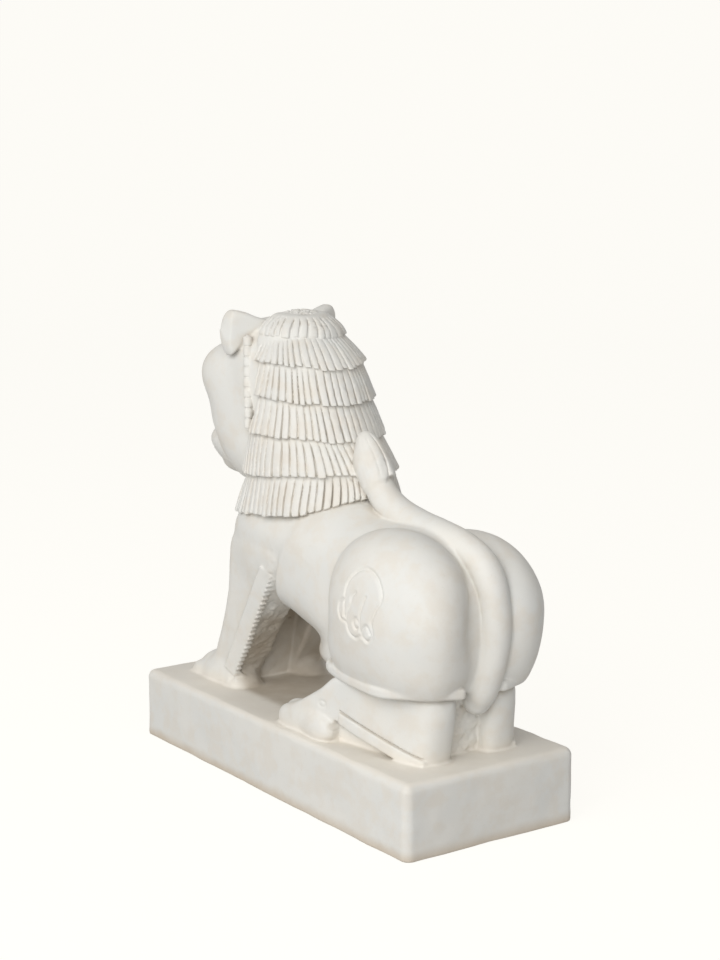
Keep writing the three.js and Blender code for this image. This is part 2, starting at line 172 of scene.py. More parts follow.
# Radius of the groove above the strip, and its depth
STRIP_GROOVE = (2.2, 2.4)
# Toes as centre and half sizes, and blend
HIND_TOES = (
    (((110, 100, 112), (15, 30, 20)), 9),
    (((106, 40, 108), (17, 40, 22)), 9),
    (((90, 30, 108), (16, 38, 23)), 6),
    (((100, 70, 115), (21, 44, 26)), 10),
)
MARK = (106, 147)
MARK_HALF = (6, 4)
MARK_DEPTH = 1.3
MARK_WIDTH = 1.5
MARK_SIDE = (80, 90)
DRILL = (130, 122)
DRILL_RADIUS = 5.5
DRILL_FLOOR = 94

# Foreleg levels as z, front y and rear y
FORELEG = (
    (92, -256, -184),
    (121, -245, -170),
    (150, -233, -149),
    (180, -219, -128),
    (241, -191, -86),
    (290, -181, -54),
    (335, -169, -28),
)
FORELEG_OUTER = ((100, 80), (180, 81), (260, 87), (330, 91))
FORELEG_INNER = ((100, 27), (300, 23))
FORELEG_TOP = 345
FORELEG_TOP_BLEND = 40
FORELEG_SLOPE = 0.84
FORELEG_ROUND_FRONT = 28
FORELEG_ROUND_REAR = 7
CHISEL_MARKS = ((1.7, 10, 0.2), (1.0, 4.5, 0.6))
CHISEL_FROM = 14
CHISEL_RIGHT_SHARE = 0.25
# Hollow before the fringe
VALLEY_OFF = 6
VALLEY_WIDTH = 9
VALLEY_DEPTH = 4.5
FRINGE_FOOT = (-170, 118)
FRINGE_TOP = (-53, 290)
FRINGE_TEETH = 23
FRINGE_WIDTH = 18
FRINGE_FACE = ((100, 82), (180, 85), (260, 90.5), (300, 93.5))
FRINGE_TILT = 0.36
FRINGE_THICK = 9
FRINGE_PROUD = 1.5
TOOTH_PEAK = 0.72
TOOTH_REACH = 2.5
TOOTH_SPREAD = 1.2
PAW = ((56, -222, 100), (31, 66, 40))
PAW_HEEL = ((58, -172, 98), (27, 24, 18))
PAW_TOES = 4
PAW_TOE_PITCH = 14
PAW_TOE = ((56, -269, 99), (9, 22, 18))
PAW_TOE_ARC = 1.6
PAW_WEAR = ((0.9, 11, 0.3),)

# Rough stone between the forelegs and between the heels, as z and y
CHEST_WEB_FRONT = ((92, -206), (270, -170))
CHEST_WEB_REAR = ((92, -190), (180, -166), (270, -128))
CHEST_WEB_HALF = 34
CHEST_WEB_TOP = 285
CHEST_WEB_ROUGH = ((0.9, 16, 0.1), (0.4, 6, 0.5))
HEEL_WEB_FRONT = 120
HEEL_WEB_REAR = ((100, 262), (165, 268), (200, 285))
HEEL_WEB_HALF = 44
HEEL_WEB_TOP = 260
HEEL_WEB_ROUGH = ((2.6, 13, 0.1), (1.3, 5, 0.5))

# The tail as y, z and x: it swings a little to the lion's right behind the rump
TAIL = (
    (281, 174, -10),
    (290, 190, -11),
    (299.5, 228, -17),
    (302, 275, -22),
    (297, 320, -20),
    (280, 351, -16),
    (250, 367, -12),
    (212, 376, -8),
    (170, 383, -4),
    (130, 393, -1),
    (100, 406, 0),
    (78, 425, 0),
    (62, 450, 0),
)
TAIL_RADIUS = 21
TUFT_FOOT = (92, 408)
TUFT_TIP = (44, 491)
TUFT_RADIUS = 23.5
TUFT_GROOVES = 6
TUFT_DEEP_GROOVE = 3.0
TUFT_WORN_GROOVE = 0.6
# Shares of the tuft's length: where it is cut off, where it is widest and how it tapers from there
TUFT_START = 0.25
TUFT_WIDEST = 0.35
TUFT_TAPER = 0.67
TUFT_LEFT_RADIUS = 17
# Across this width the tuft turns from standing off the tail to running into it
TUFT_TURN = (-9, 6)
TAIL_INSET = 0.7
TAIL_CUT = 112

# The head and its hood stand a little to the lion's right of the middle plane
HEAD_SHIFT = -3
# Mane tiers from the top: middle y, half width, reach behind, reach in front, locks, hem as y and z
TIERS = (
    (-110, 64, 60, 62, 34, ((-140, 616), (-50, 611))),
    (-98, 82, 90, 80, 48, ((-96, 580), (-58, 578.5), (-12, 571.5))),
    (-92, 89, 103, 95, 54, ((-85, 533), (-16, 527), (10, 525))),
    (-84, 96, 114, 108, 56, ((-95, 480), (-12, 481), (30, 476))),
    (-70, 101, 134, 124, 58, ((-132, 419), (-49, 428), (58, 436))),
    (-62, 106, 128, 156, 66, ((-165, 361), (-73, 371), (-27, 375), (8, 381), (32, 388), (66, 406))),
)
HOOD_TIERS = 4
TIER_INSET = 11
TIER_OVERLAP = 4
TIER_REACH = 20
TIER_BULGE = 0.85
TOP_TIER_HEIGHT = 27
TOP_TIER_PROUD = 2.5
# Half a lock's flat as a share of its pitch, at its top and at its hem
LOCK_FLAT = (0.43, 0.35)
LOCK_DEPTH = 4.2
LOCK_DEPTH_SPREAD = 2.6
LOCK_TILT = 1.2
LOCK_STEP = 1.6
HEM_NOTCH = 2.2
HEM_SPREAD = 2.6
# Where the grooves are worn shallow towards the front, as y
HOOD_WORN = (-150, -60)
COLLAR_WORN = (-230, -120)
# Front edge of the hood as z and y
HOOD_EDGE = ((440, -100), (486, -104), (530, -100), (575, -108), (624, -126))
CROWN = ((0, -118, 600), (67, 66, 47))
TEMPLE = ((36, -164, 570), (36, 48, 44))
CURL_PITCH = 15
CURL_TURN = 5.2
CURL_DEPTH = 2.2
CURL_FADE = (622, 632)
BEAD_TOP = (70.5, -141, 611)
BEAD_FOOT = (88.5, -112, 484)
BEAD_PITCH = 14
BEAD_RADIUS = 6.3
BEAD_NECK = 2.4

SKULL = ((0, -135, 535), (82, 115, 104))
CHEEK = ((42, -164, 470), (44, 62, 70))
CHEEKBONE = ((44, -200, 497), (40, 48, 56))
BROW = ((50, -222, 553), (40, 42, 38))
BRIDGE = ((0, -236, 504), (34, 56, 54))
JOWL_CUT = ((126, -268, 440), (70, 72, 72))
MUZZLE = ((0, -236, 438), (52, 66, 40))
LIP = ((24, -262, 448), (30, 33, 24))
NOSE = ((0, -294, 475), (27, 14, 15))
NOSTRIL = ((21, -288, 469), (13, 13, 11))
NOSTRIL_HOLE = ((17, -303, 464), (8, 7, 3))
CHIN = ((0, -252, 413), (36, 42, 17))
MOUTH = ((0, -276, 428), (46, 44, 3.6))
BROW_RIDGE = ((41, -260, 552), (27, 11, 8))
# Forms joined to the skull and to the muzzle, each with its blend
HEAD_FORMS = ((CHEEK, 24), (CHEEKBONE, 30), (TEMPLE, 24), (BROW, 36), (BRIDGE, 14))
MUZZLE_FORMS = ((LIP, 10), (NOSE, 5), (NOSTRIL, 4), (CHIN, 8))
# Groove from the nose to the mouth: its y and z, radius and half height
PHILTRUM = (-301, 448, 3, 14)
MOUTH_CURL = 10
MOUTH_SPAN = 46
TEETH_MIDDLE = -232
TEETH_ARC = (40, 44)
TOOTH_PITCH = 9
TOOTH_HALF = 3.9
LONG_TOOTH = 2
TEETH_END = 36
EYE = ((46, -248, 528), (22, 18, 18))
LID_THICK = 3.5
EYE_OPENING = (22, 12)
EYE_SOCKET = 7
PUPIL_RING = (6.5, 1.2)
# Outline of the ear as side and z
EAR_TOP = ((36, 632), (51, 636), (66, 643), (80, 646), (88, 640), (93, 626))
EAR_FOOT = ((40, 624), (52, 616), (64, 606), (76, 591), (86, 582), (92, 595), (95, 612))
# Planes of the ear's back and outer face as a side and y they pass through, and their slope
EAR_BACK = (46, -138, 0.43)
EAR_OUTER = (88, -156, 0.375)
EAR_FRONT = -178
EAR_HOLLOW = ((72, -186, 616), (15, 14, 24))

# Haunch ornament as lines of y and z
ORNAMENT = (
    (
        *((185, 285), (183, 319), (193, 338), (213, 349), (234, 344)),
        *((249, 330), (253, 316), (246, 302), (240, 288)),
    ),
    ((240, 288), (243, 271), (233, 261), (223, 270), (232, 281), (239, 272)),
    ((207, 319), (200, 312), (198, 301), (191, 287), (191, 276), (197, 265), (210, 261), (219, 266)),
    ((216, 282), (211, 287), (206, 280), (211, 273), (215, 276)),
    ((227, 316), (223, 306), (219, 291), (219, 276), (223, 265)),
    ((180, 306), (171, 300), (169, 291), (174, 281), (188, 278)),
)
ORNAMENT_SIDE = 90
ORNAMENT_MARGIN = 8
STROKE_DEPTH = 2.3
STROKE_WIDTH = 1.8
RIM_HEIGHT = 0.4
RIM_OFF = 4
RIM_WIDTH = 1.5


# Distance helpers


class Spots:
    """Sample points as whole arrays in millimetres; side is the distance from the middle plane."""

    def __init__(self, x, y, z):
        self.x = x
        self.y = y
        self.z = z
        self.side = np.abs(x)

    def pick(self, mask):
        """The points where the mask is true."""
        return Spots(self.x[mask], self.y[mask], self.z[mask])

    def from_side(self):
        """The same points with both halves folded onto the left one."""
        return Spots(self.side, self.y, self.z)


def join(a, b, blend):
    """The smaller of two distances, rounded where they differ by less than blend."""
    near = np.maximum(blend - np.abs(a - b), 0) / blend
    return np.minimum(a, b) - near * near * (blend * 0.25)


def overlap(a, b, blend):
    """The larger of two distances, rounded where they differ by less than blend."""
    return -join(-a, -b, blend)


def cut(a, b, blend):
    """The first form with the second taken out of it."""
    return overlap(a, -b, blend)


def ease(start, end, value):
    """0 before start, 1 after end and a smooth step between."""
    t = np.clip((value - start) / (end - start), 0, 1)
    return t * t * (3 - 2 * t)


def mix(a, b, t):
    """The value a share t of the way from a to b."""
    return a + (b - a) * t


def ramp(value, knots):
    """Straight lines through knots of (value, result)."""
    table = np.asarray(knots, np.float32)
    return np.interp(value, table[:, 0], table[:, 1]).astype(np.float32)


def curve(points, steps):
    """A cubic between each two points, whose slopes come from the points on either side."""
    p = np.asarray(points, np.float32)
    p = np.vstack([2 * p[0] - p[1], p, 2 * p[-1] - p[-2]])
    a, b, c, d = p[:-3], p[1:-2], p[2:-1], p[3:]
    t = np.linspace(0, 1, steps, endpoint=False, dtype=np.float32)[:, None, None]
    slope, square, cube = c - a, 2 * a - 5 * b + 4 * c - d, 3 * b - a - 3 * c + d
    spans = 0.5 * (2 * b + slope * t + square * t**2 + cube * t**3)
    return np.vstack([spans.transpose(1, 0, 2).reshape(-1, p.shape[1]), p[-2]])


def swell(value, knots):
    """A smooth curve through knots of (value, result)."""
    return ramp(value, curve(knots, 8))


def bell(value, width):
    """A bell of height 1: e to the minus square of the value over the width."""
    return np.exp(-((value / width) ** 2))


def round_distance(offsets, radii):
    """Distance to an ellipse or ellipsoid: its scaled radius over the length of that radius's gradient."""
    scaled = np.sqrt(sum((o / r) ** 2 for o, r in zip(offsets, radii))) + np.float32(1e-6)
    slope = np.sqrt(sum((o / r**2) ** 2 for o, r in zip(offsets, radii))) + np.float32(1e-9)
    return scaled * (scaled - 1) / slope


def egg(spots, form):
    """Distance to an ellipsoid given as its centre and half sizes."""
    centre, radii = form
    return round_distance([p - np.float32(c) for p, c in zip((spots.x, spots.y, spots.z), centre)], radii)


def join_eggs(distance, spots, forms):
    """The distance with ellipsoids joined to it in turn, each given as (form, blend)."""
    for form, blend in forms:
        distance = join(distance, egg(spots, form), blend)
    return distance


def corner(u, v, rounding):
    """Two distances meeting in a convex edge of that rounding."""
    a, b = u + rounding, v + rounding
    outside = np.sqrt(np.maximum(a, 0) ** 2 + np.maximum(b, 0) ** 2)
    return outside + np.minimum(np.maximum(a, b), 0) - rounding


def slab(u, v, half_u, half_v, rounding):
    """Distance to a rectangle with rounded corners."""
    return corner(np.abs(u) - half_u, np.abs(v) - half_v, rounding)


def along(u, v, line):
    """Distance to a line of short spans, and the share of its length at the nearest point."""
    best = np.full(u.shape, FAR * FAR, np.float32)
    run = np.zeros(u.shape, np.float32)
    for k, (a, b) in enumerate(zip(line[:-1], line[1:])):
        d = b - a
        t = np.clip(((u - a[0]) * d[0] + (v - a[1]) * d[1]) / float(d @ d), 0, 1)
        square = (u - a[0] - t * d[0]) ** 2 + (v - a[1] - t * d[1]) ** 2
        nearer = square < best
        best = np.where(nearer, square, best)
        run = np.where(nearer, (k + t) / (len(line) - 1), run)
    return np.sqrt(best), run


def third_along(line, run):
    """The third coordinate of a line at a share of its length."""
    return np.interp(run * (len(line) - 1), np.arange(len(line)), line[:, 2]).astype(np.float32)


def beside(spots, foot, tip):
    """How far a spot is along a straight from foot to tip, how far behind it, and the straight's length."""
    foot, tip = np.asarray(foot, np.float32), np.asarray(tip, np.float32)
    length = float(np.hypot(*(tip - foot)))
    way = (tip - foot) / length
    run = (spots.y - foot[0]) * way[0] + (spots.z - foot[1]) * way[1]
    back = (spots.y - foot[0]) * way[1] - (spots.z - foot[1]) * way[0]
    return run, back, length


LATTICE_SIZE = 32
LATTICE = np.random.default_rng(20).uniform(-1, 1, (LATTICE_SIZE,) * 3).astype(np.float32)


def rough(spots, size, shift):
    """Value noise from -1 to 1: random values on a lattice of that pitch, eased between neighbours."""
    places = [c / np.float32(size) + np.float32(shift) for c in (spots.x, spots.y, spots.z)]
    cells = [np.floor(p).astype(np.int32) for p in places]
    shares = [ease(0, 1, p - c) for p, c in zip(places, cells)]
    total = np.zeros(spots.x.shape, np.float32)
    for bits in np.ndindex(2, 2, 2):
        weight = np.ones(spots.x.shape, np.float32)
        for share, bit in zip(shares, bits):
            weight = weight * (share if bit else 1 - share)
        index = tuple((c + bit) % LATTICE_SIZE for c, bit in zip(cells, bits))
        total += weight * LATTICE[index]
    return total


def roughened(distance, spots, layers):
    """The distance with layers of noise added to it, each given as (height, pitch, shift)."""
    for height, pitch, shift in layers:
        distance = distance + height * rough(spots, pitch, shift)
    return distance


def scatter(whole, seed):
    """A fixed random share from 0 to 1 for each whole number."""
    value = np.sin(whole * np.float32(12.9898) + np.float32(seed * 78.233)) * np.float32(437.5453)
    return value - np.floor(value)


def local(form, spots, low, high, fine):
    """The form's distance at points in a box, and far away elsewhere."""
    inside = np.ones(spots.x.shape, bool)
    for values, least, most in zip((spots.side, spots.y, spots.z), low, high):
        inside &= (values > least - REACH) & (values < most + REACH)
    distance = np.full(spots.x.shape, FAR, np.float32)
    if inside.any():
        distance[inside] = form(spots.pick(inside), fine)
    return distance


# Carved forms, each a distance for points in millimetres


def plinth(spots, fine):
    """A block with rounded upright corners and a worn top edge."""
    uneven = np.float32(0)
    edge = np.float32(PLINTH_EDGE)
    if fine:
        uneven = roughened(uneven, spots, PLINTH_WAVES)
        edge = roughened(edge, spots, PLINTH_WEAR)
    half_x = PLINTH_WIDTH / 2 - PLINTH_SHRINK
    half_y = PLINTH_LENGTH / 2 - PLINTH_SHRINK
    sides = slab(spots.x, spots.y, half_x, half_y, PLINTH_CORNER) + uneven
    block = corner(sides, spots.z - PLINTH_HEIGHT + 0.8 * uneven, edge)
    return corner(block, -spots.z, PLINTH_FOOT_EDGE)


def trunk(spots, fine):
    """Barrel of superellipse sections whose underside, back and width swell along the body."""
    table = np.asarray(TRUNK, np.float32)
    under, back, half = (swell(spots.y, table[:, (0, k)]) for k in (1, 2, 3))
    up = spots.z - (under + back) / 2
    tall = (back - under) / 2
    level = ((spots.side / half) ** TRUNK_POWER + (np.abs(up) / tall) ** TRUNK_POWER) ** (1 / TRUNK_POWER)
    barrel = np.sqrt(spots.x**2 + up**2) * (1 - 1 / (level + np.float32(1e-3)))
    return overlap(barrel, np.maximum(spots.y - TRUNK_ENDS[1], TRUNK_ENDS[0] - spots.y), TRUNK_END_BLEND)


def haunch(spots, fine):
    """An egg drawn out downwards, its lower half kept full, with the knee joined in front."""
    (cx, cy, cz), (rx, ry, rz) = HAUNCH
    z = spots.z - np.float32(cz)
    tall = np.where(z < 0, np.float32(HAUNCH_DROP), np.float32(rz))
    waist = np.sqrt(np.clip(1 - (np.minimum(z, 0) / HAUNCH_DROP) ** 2, LEAST_WAIST, 1))
    long = ry * waist ** np.float32(-HAUNCH_FILL)
    x = spots.side - np.float32(cx)
    y = spots.y - np.float32(cy)
    distance = round_distance((x, y, z), (rx, long, tall))
    distance = join(distance, egg(spots.from_side(), KNEE), 26)
    distance = join(distance, egg(spots, HIP), 24)
    distance = join(distance, egg(spots.from_side(), HAUNCH_REAR), 22)
    distance = join(distance, egg(spots, REAR_FILL), 12)
    if fine:
        distance = distance + ornament(spots)
    return overlap(distance, HAUNCH_FOOT - spots.z, 5)


def ornament(spots):
    """Depth of the scroll cut in the left haunch: a narrow bell across each line, less a low rim."""
    depth = np.zeros(spots.x.shape, np.float32)
    lines = [curve(points, 5) for points in ORNAMENT]
    every = np.vstack(lines)
    low, high = every.min(0) - ORNAMENT_MARGIN, every.max(0) + ORNAMENT_MARGIN
    on = (spots.x > ORNAMENT_SIDE) & (spots.y > low[0]) & (spots.y < high[0])
    on &= (spots.z > low[1]) & (spots.z < high[1])
    if on.any():
        y, z = spots.y[on], spots.z[on]
        near = np.minimum.reduce([along(y, z, line)[0] for line in lines])
        depth[on] = STROKE_DEPTH * bell(near, STROKE_WIDTH) - RIM_HEIGHT * bell(near - RIM_OFF, RIM_WIDTH)
    return depth


def knee_band(spots, fine):
    """A flat ring carried round the foot of the haunch."""
    line = curve(BAND, 3)
    off, run = along(spots.side, spots.y, line[:, :2])
    return slab(off, spots.z - third_along(line, run), *BAND_HALF, BAND_ROUND)


def hind_foot(spots, fine):
    """A long block under the haunch with a slanted strip, a sunk wedge below it and a drilled hole."""
    table = np.asarray(SHANK, np.float32)
    inner, outer, top = (swell(spots.y, table[:, (0, k)]) for k in (1, 2, 3))
    buried = PLINTH_HEIGHT - SHANK_BURIED
    block = slab(
        spots.side - (outer + inner) / 2,
        spots.z - (top + buried) / 2,
        (outer - inner) / 2,
        (top - buried) / 2,
        SHANK_ROUND,
    )
    heel = SHANK_ENDS[1] - HEEL_TAPER * np.maximum(HEEL_TAPER_TOP - spots.z, 0)
    block = overlap(SHANK_SLOPE * block, spots.y - heel, 18)
    block = overlap(block, SHANK_ENDS[0] - spots.y, 10)
    wall = np.maximum(ramp(spots.y, RECESS_WALL) - spots.side, spots.z - ramp(spots.y, RECESS_TOP))
    wall = np.maximum(wall, np.maximum(RECESS_Y[0] - spots.y, spots.y - RECESS_Y[1]))
    block = cut(block, wall, 2)
    above = spots.z - ramp(spots.y, STRIP_LINE)
    ends = np.maximum(STRIP_LINE[0][0] - spots.y, spots.y - STRIP_LINE[1][0])
    sunk = np.maximum(outer - spots.side - STRIP_GROOVE[1], 0)
    groove = np.hypot(sunk, above - STRIP_HALF[1]) - STRIP_GROOVE[0]
    block = cut(block, np.maximum(groove, ends), 1)
    strip = slab(spots.side - outer - STRIP_PROUD + STRIP_HALF[0], above, *STRIP_HALF, STRIP_ROUND)
    strip = overlap(np.maximum(strip, ends), spots.y - heel + STRIP_END, 4)
    foot = join(block, strip, 1.5)
    toes = join_eggs(np.full(spots.x.shape, FAR, np.float32), spots.from_side(), HIND_TOES)
    foot = join(foot, toes, 4)
    if fine:
        mark = np.abs(round_distance((spots.y - MARK[0], spots.z - MARK[1]), MARK_HALF))
        foot = foot + MARK_DEPTH * bell(mark, MARK_WIDTH) * ease(*MARK_SIDE, spots.x)
    hole = np.sqrt((spots.y - DRILL[0]) ** 2 + (spots.z - DRILL[1]) ** 2) - DRILL_RADIUS
    return cut(foot, np.maximum(hole, DRILL_FLOOR - spots.side), 2)


def foreleg(spots, fine):
    """An upright whose front and rear lines swell with height, rounded in front and chiselled behind."""
    table = np.asarray(FORELEG, np.float32)
    front, rear = (swell(spots.z, table[:, (0, k)]) for k in (1, 2))
    outer, inner = ramp(spots.z, FORELEG_OUTER), ramp(spots.z, FORELEG_INNER)
    across = spots.side - (outer + inner) / 2
    fore = spots.y - (front + rear) / 2
    rounding = np.where(fore < 0, np.float32(FORELEG_ROUND_FRONT), np.float32(FORELEG_ROUND_REAR))
    leg = FORELEG_SLOPE * slab(across, fore, (outer - inner) / 2, (rear - front) / 2, rounding)
    if fine:
        chiselled = ease(-6, 6, spots.y - rear + CHISEL_FROM)
        chiselled = chiselled * mix(CHISEL_RIGHT_SHARE, 1, ease(-5, 5, spots.x))
        leg = leg + chiselled * roughened(np.float32(0), spots, CHISEL_MARKS)
        run, back, length = beside(spots, FRINGE_FOOT, FRINGE_TOP)
        valley = bell(back + FRINGE_WIDTH + VALLEY_OFF, VALLEY_WIDTH) * ease(0.15, 0.6, run / length)
        leg = leg + VALLEY_DEPTH * valley * ease(-14, 0, spots.side - outer) * ease(1.12, 0.9, run / length)
    return overlap(leg, spots.z - FORELEG_TOP, FORELEG_TOP_BLEND)


def leg_fringe(spots, fine):
    """A thin strip along the back of the foreleg with a saw-toothed rear edge."""
    run, back, length = beside(spots, FRINGE_FOOT, FRINGE_TOP)
    pitch = run * FRINGE_TEETH / length
    count = np.floor(pitch)
    share = pitch - count
    tooth = np.where(share < TOOTH_PEAK, share / TOOTH_PEAK, (1 - share) / (1 - TOOTH_PEAK))
    edge = back - FRINGE_PROUD - (TOOTH_REACH + TOOTH_SPREAD * scatter(count, 3)) * tooth
    face = ramp(spots.z, FRINGE_FACE)
    strip = np.maximum(0.75 * edge, -FRINGE_WIDTH - back)
    face = face - FRINGE_TILT * (back + FRINGE_WIDTH / 2)
    depth = np.abs(spots.side - face - FRINGE_PROUD + FRINGE_THICK / 2) - FRINGE_THICK / 2
    strip = np.maximum(strip, 0.95 * depth)
    return np.maximum(strip, np.maximum(-run, run - length))


def forepaw(spots, fine):
    """A worn dome with toes in a row before it and a low heel."""
    folded = spots.from_side()
    paw = egg(folded, PAW)
    (x, y, z), radii = PAW_TOE
    for k in range(PAW_TOES):
        step = k - (PAW_TOES - 1) / 2
        paw = join(paw, egg(folded, ((x + PAW_TOE_PITCH * step, y + PAW_TOE_ARC * step**2, z), radii)), 5)
    paw = join(paw, egg(folded, PAW_HEEL), 8)
    return roughened(paw, spots, PAW_WEAR) if fine else paw


def chest_web(spots, fine):
    """The rough stone left standing between the forelegs."""
    front, rear = ramp(spots.z, CHEST_WEB_FRONT), ramp(spots.z, CHEST_WEB_REAR)
    web = np.maximum(0.95 * np.maximum(front - spots.y, spots.y - rear), spots.side - CHEST_WEB_HALF)
    if fine:
        web = roughened(web, spots, CHEST_WEB_ROUGH)
    return np.maximum(web, spots.z - CHEST_WEB_TOP)


def heel_web(spots, fine):
    """The rough stone left standing between the heels."""
    rear = ramp(spots.z, HEEL_WEB_REAR)
    web = np.maximum(np.maximum(HEEL_WEB_FRONT - spots.y, spots.y - rear), spots.side - HEEL_WEB_HALF)
    if fine:
        web = roughened(web, spots, HEEL_WEB_ROUGH)
    return np.maximum(web, spots.z - HEEL_WEB_TOP)


def tail(spots, fine):
    """A round rod up between the haunches and along the back, thinner at its foot."""
    line = curve(TAIL, 4)
    off, run = along(spots.y, spots.z, line[:, :2])
    middle = third_along(line, run)
    radius = TAIL_RADIUS - 2 * ease(0.1, 0, run) - ease(0.7, 1, run)
    return np.sqrt((spots.x - middle) ** 2 + off**2) - radius


def tuft(spots, fine):
    """A bud of hair that lies on the mane, grooved lengthwise."""
    run, out, length = beside(spots, TUFT_FOOT, TUFT_TIP)
    run = run / length
    radius = TUFT_RADIUS * np.sqrt(np.clip(1 - (np.maximum(run - TUFT_WIDEST, 0) / TUFT_TAPER) ** 2, 0, 1))
    radius = radius - (TUFT_RADIUS - TUFT_LEFT_RADIUS) * ease(*TUFT_TURN, spots.x) * ease(0.6, 0.2, run)
    bud = np.sqrt(spots.x**2 + (0.88 * out) ** 2) - radius
    if fine:
        turn = np.arctan2(spots.x, out)
        wave = np.abs(np.sin(TUFT_GROOVES * turn + 0.6 * np.sin(4 * run)))
        deep = mix(TUFT_DEEP_GROOVE, TUFT_WORN_GROOVE, ease(-0.4, 0.9, turn))
        bud = bud + deep * ease(0.35, 0, wave) * ease(1.05, 0.8, run)
    return overlap(0.75 * bud, (TUFT_START - run) * length, 2)


def tier_oval(spots, tier, fall):
    """Half sizes and own y of a tier's oval, a share of the way from inside the tier above to its hem."""
    middle, wide, back, fore = TIERS[tier][:4]
    middle_up, *sizes_up = TIERS[tier - 1][:4]
    wide_up, back_up, fore_up = (size - TIER_INSET for size in sizes_up)
    flare = fall ** np.float32(TIER_BULGE)
    y = spots.y - mix(middle_up, middle, flare)
    half_y = np.where(y > 0, mix(back_up, back, flare), mix(fore_up, fore, flare))
    return mix(wide_up, wide, flare), half_y, y


def mane_tier(spots, fine, tier):
    """A flared ring, or a dome for the top one, cut into flat locks by narrow wedge grooves."""
    hem = ramp(spots.y, TIERS[tier][5])
    if tier:
        top = ramp(spots.y, TIERS[tier - 1][5]) + TIER_OVERLAP
        fall = np.clip((top - spots.z) / (top - hem), 0, 1.1)
        half_x, half_y, y = tier_oval(spots, tier, fall)
        ring = round_distance((spots.x, y), (half_x, half_y))
    else:
        top = hem + TOP_TIER_HEIGHT
        fall = np.clip((top - spots.z) / (top - hem), 0, 1.1)
        (_, middle, _), (half_x, half_y, _) = CROWN
        y = spots.y - middle
        ring = egg(spots, CROWN) - TOP_TIER_PROUD
    if fine:
        turn = np.arctan2(spots.x / half_x, y / half_y)
        sway = 0.16 * np.sin(5 * turn + tier) + 0.12 * np.sin(11 * turn + 2 * tier)
        bend = 0.12 * np.sin(3.2 * fall + 3 * turn + tier)
        count = turn * np.float32(TIERS[tier][4] / (2 * np.pi)) + sway + bend
        lock = np.floor(count)
        across = count - lock - np.float32(0.5)
        chance = scatter(lock, tier)
        flat = mix(*LOCK_FLAT, np.clip(fall, 0, 1)) - 0.06 * chance
        groove = ease(flat, 0.5, np.abs(across))
        worn = ease(*(HOOD_WORN if 0 < tier < HOOD_TIERS else COLLAR_WORN), spots.y)
        deep = LOCK_DEPTH + LOCK_DEPTH_SPREAD * scatter(np.round(count), tier + 9)
        deep = deep * ease(0.0, 0.35, fall) * (0.4 + 0.6 * worn)
        lean = (1 - groove) * (LOCK_TILT * across + LOCK_STEP * (chance - 0.5))
        ring = ring + groove * deep + lean * ease(0.1, 0.6, fall)
        hem = hem + HEM_NOTCH * groove + (1 - groove) * HEM_SPREAD * (chance - 0.5)
    ring = overlap(np.float32(0.92) * ring, hem - spots.z, 2.5)
    ring = overlap(ring, spots.z - top - 1, 2)
    if tier < HOOD_TIERS:
        ring = overlap(ring, ramp(spots.z, HOOD_EDGE) - spots.y, 3)
    return ring


def mane(spots, fine):
    """The tiers, the curled crown and the bead rows of the hood, each worked out only near itself."""
    hair = np.full(spots.x.shape, FAR, np.float32)
    for tier in range(len(TIERS)):
        hems = [z for row in TIERS[max(tier - 1, 0) : tier + 1] for _, z in row[5]]
        top = max(hems) + (TIER_OVERLAP if tier else TOP_TIER_HEIGHT)
        near = (spots.z > min(hems) - TIER_REACH) & (spots.z < top + TIER_REACH)
        hair[near] = np.minimum(hair[near], mane_tier(spots.pick(near), fine, tier))
    upper = spots.z > BEAD_FOOT[2] - TIER_REACH
    high = spots.pick(upper)
    hair[upper] = join(np.minimum(hair[upper], crown(high, fine)), bead_row(high, fine), 1.5)
    return hair


def crown(spots, fine):
    """A dome with small spiral curls set in staggered rows."""
    dome = egg(spots, CROWN)
    if fine:
        row_pitch = CURL_PITCH * math.sqrt(0.75)
        row = np.round(spots.y / row_pitch)
        place = spots.x / CURL_PITCH + 0.5 * np.mod(row, 2)
        column = np.round(place)
        u, v = (place - column) * CURL_PITCH, spots.y - row * row_pitch
        turn = np.arctan2(v, u) + 2.1 * column + 1.3 * row
        spiral = 0.5 + 0.5 * np.cos(np.hypot(u, v) * np.float32(2 * np.pi / CURL_TURN) - turn)
        dome = dome + CURL_DEPTH * spiral * ease(*CURL_FADE, spots.z)
    return overlap(dome, HOOD_EDGE[-1][1] - spots.y, 6)


def bead_row(spots, fine):
    """Short beads stacked down the edge of the hood."""
    (x0, y0, z0), (x1, y1, z1) = BEAD_TOP, BEAD_FOOT
    t = np.clip((z0 - spots.z) / (z0 - z1), 0, 1)
    radius = np.float32(BEAD_RADIUS)
    if fine:
        share = (z0 - spots.z) / BEAD_PITCH
        radius = BEAD_RADIUS - BEAD_NECK * ease(0.34, 0.5, np.abs(share - np.floor(share) - 0.5))
    row = np.hypot(spots.side - mix(x0, x1, t), spots.y - mix(y0, y1, t)) - radius
    return overlap(0.9 * row, np.abs(spots.z - (z0 + z1) / 2) - (z0 - z1) / 2 - 1, 4)


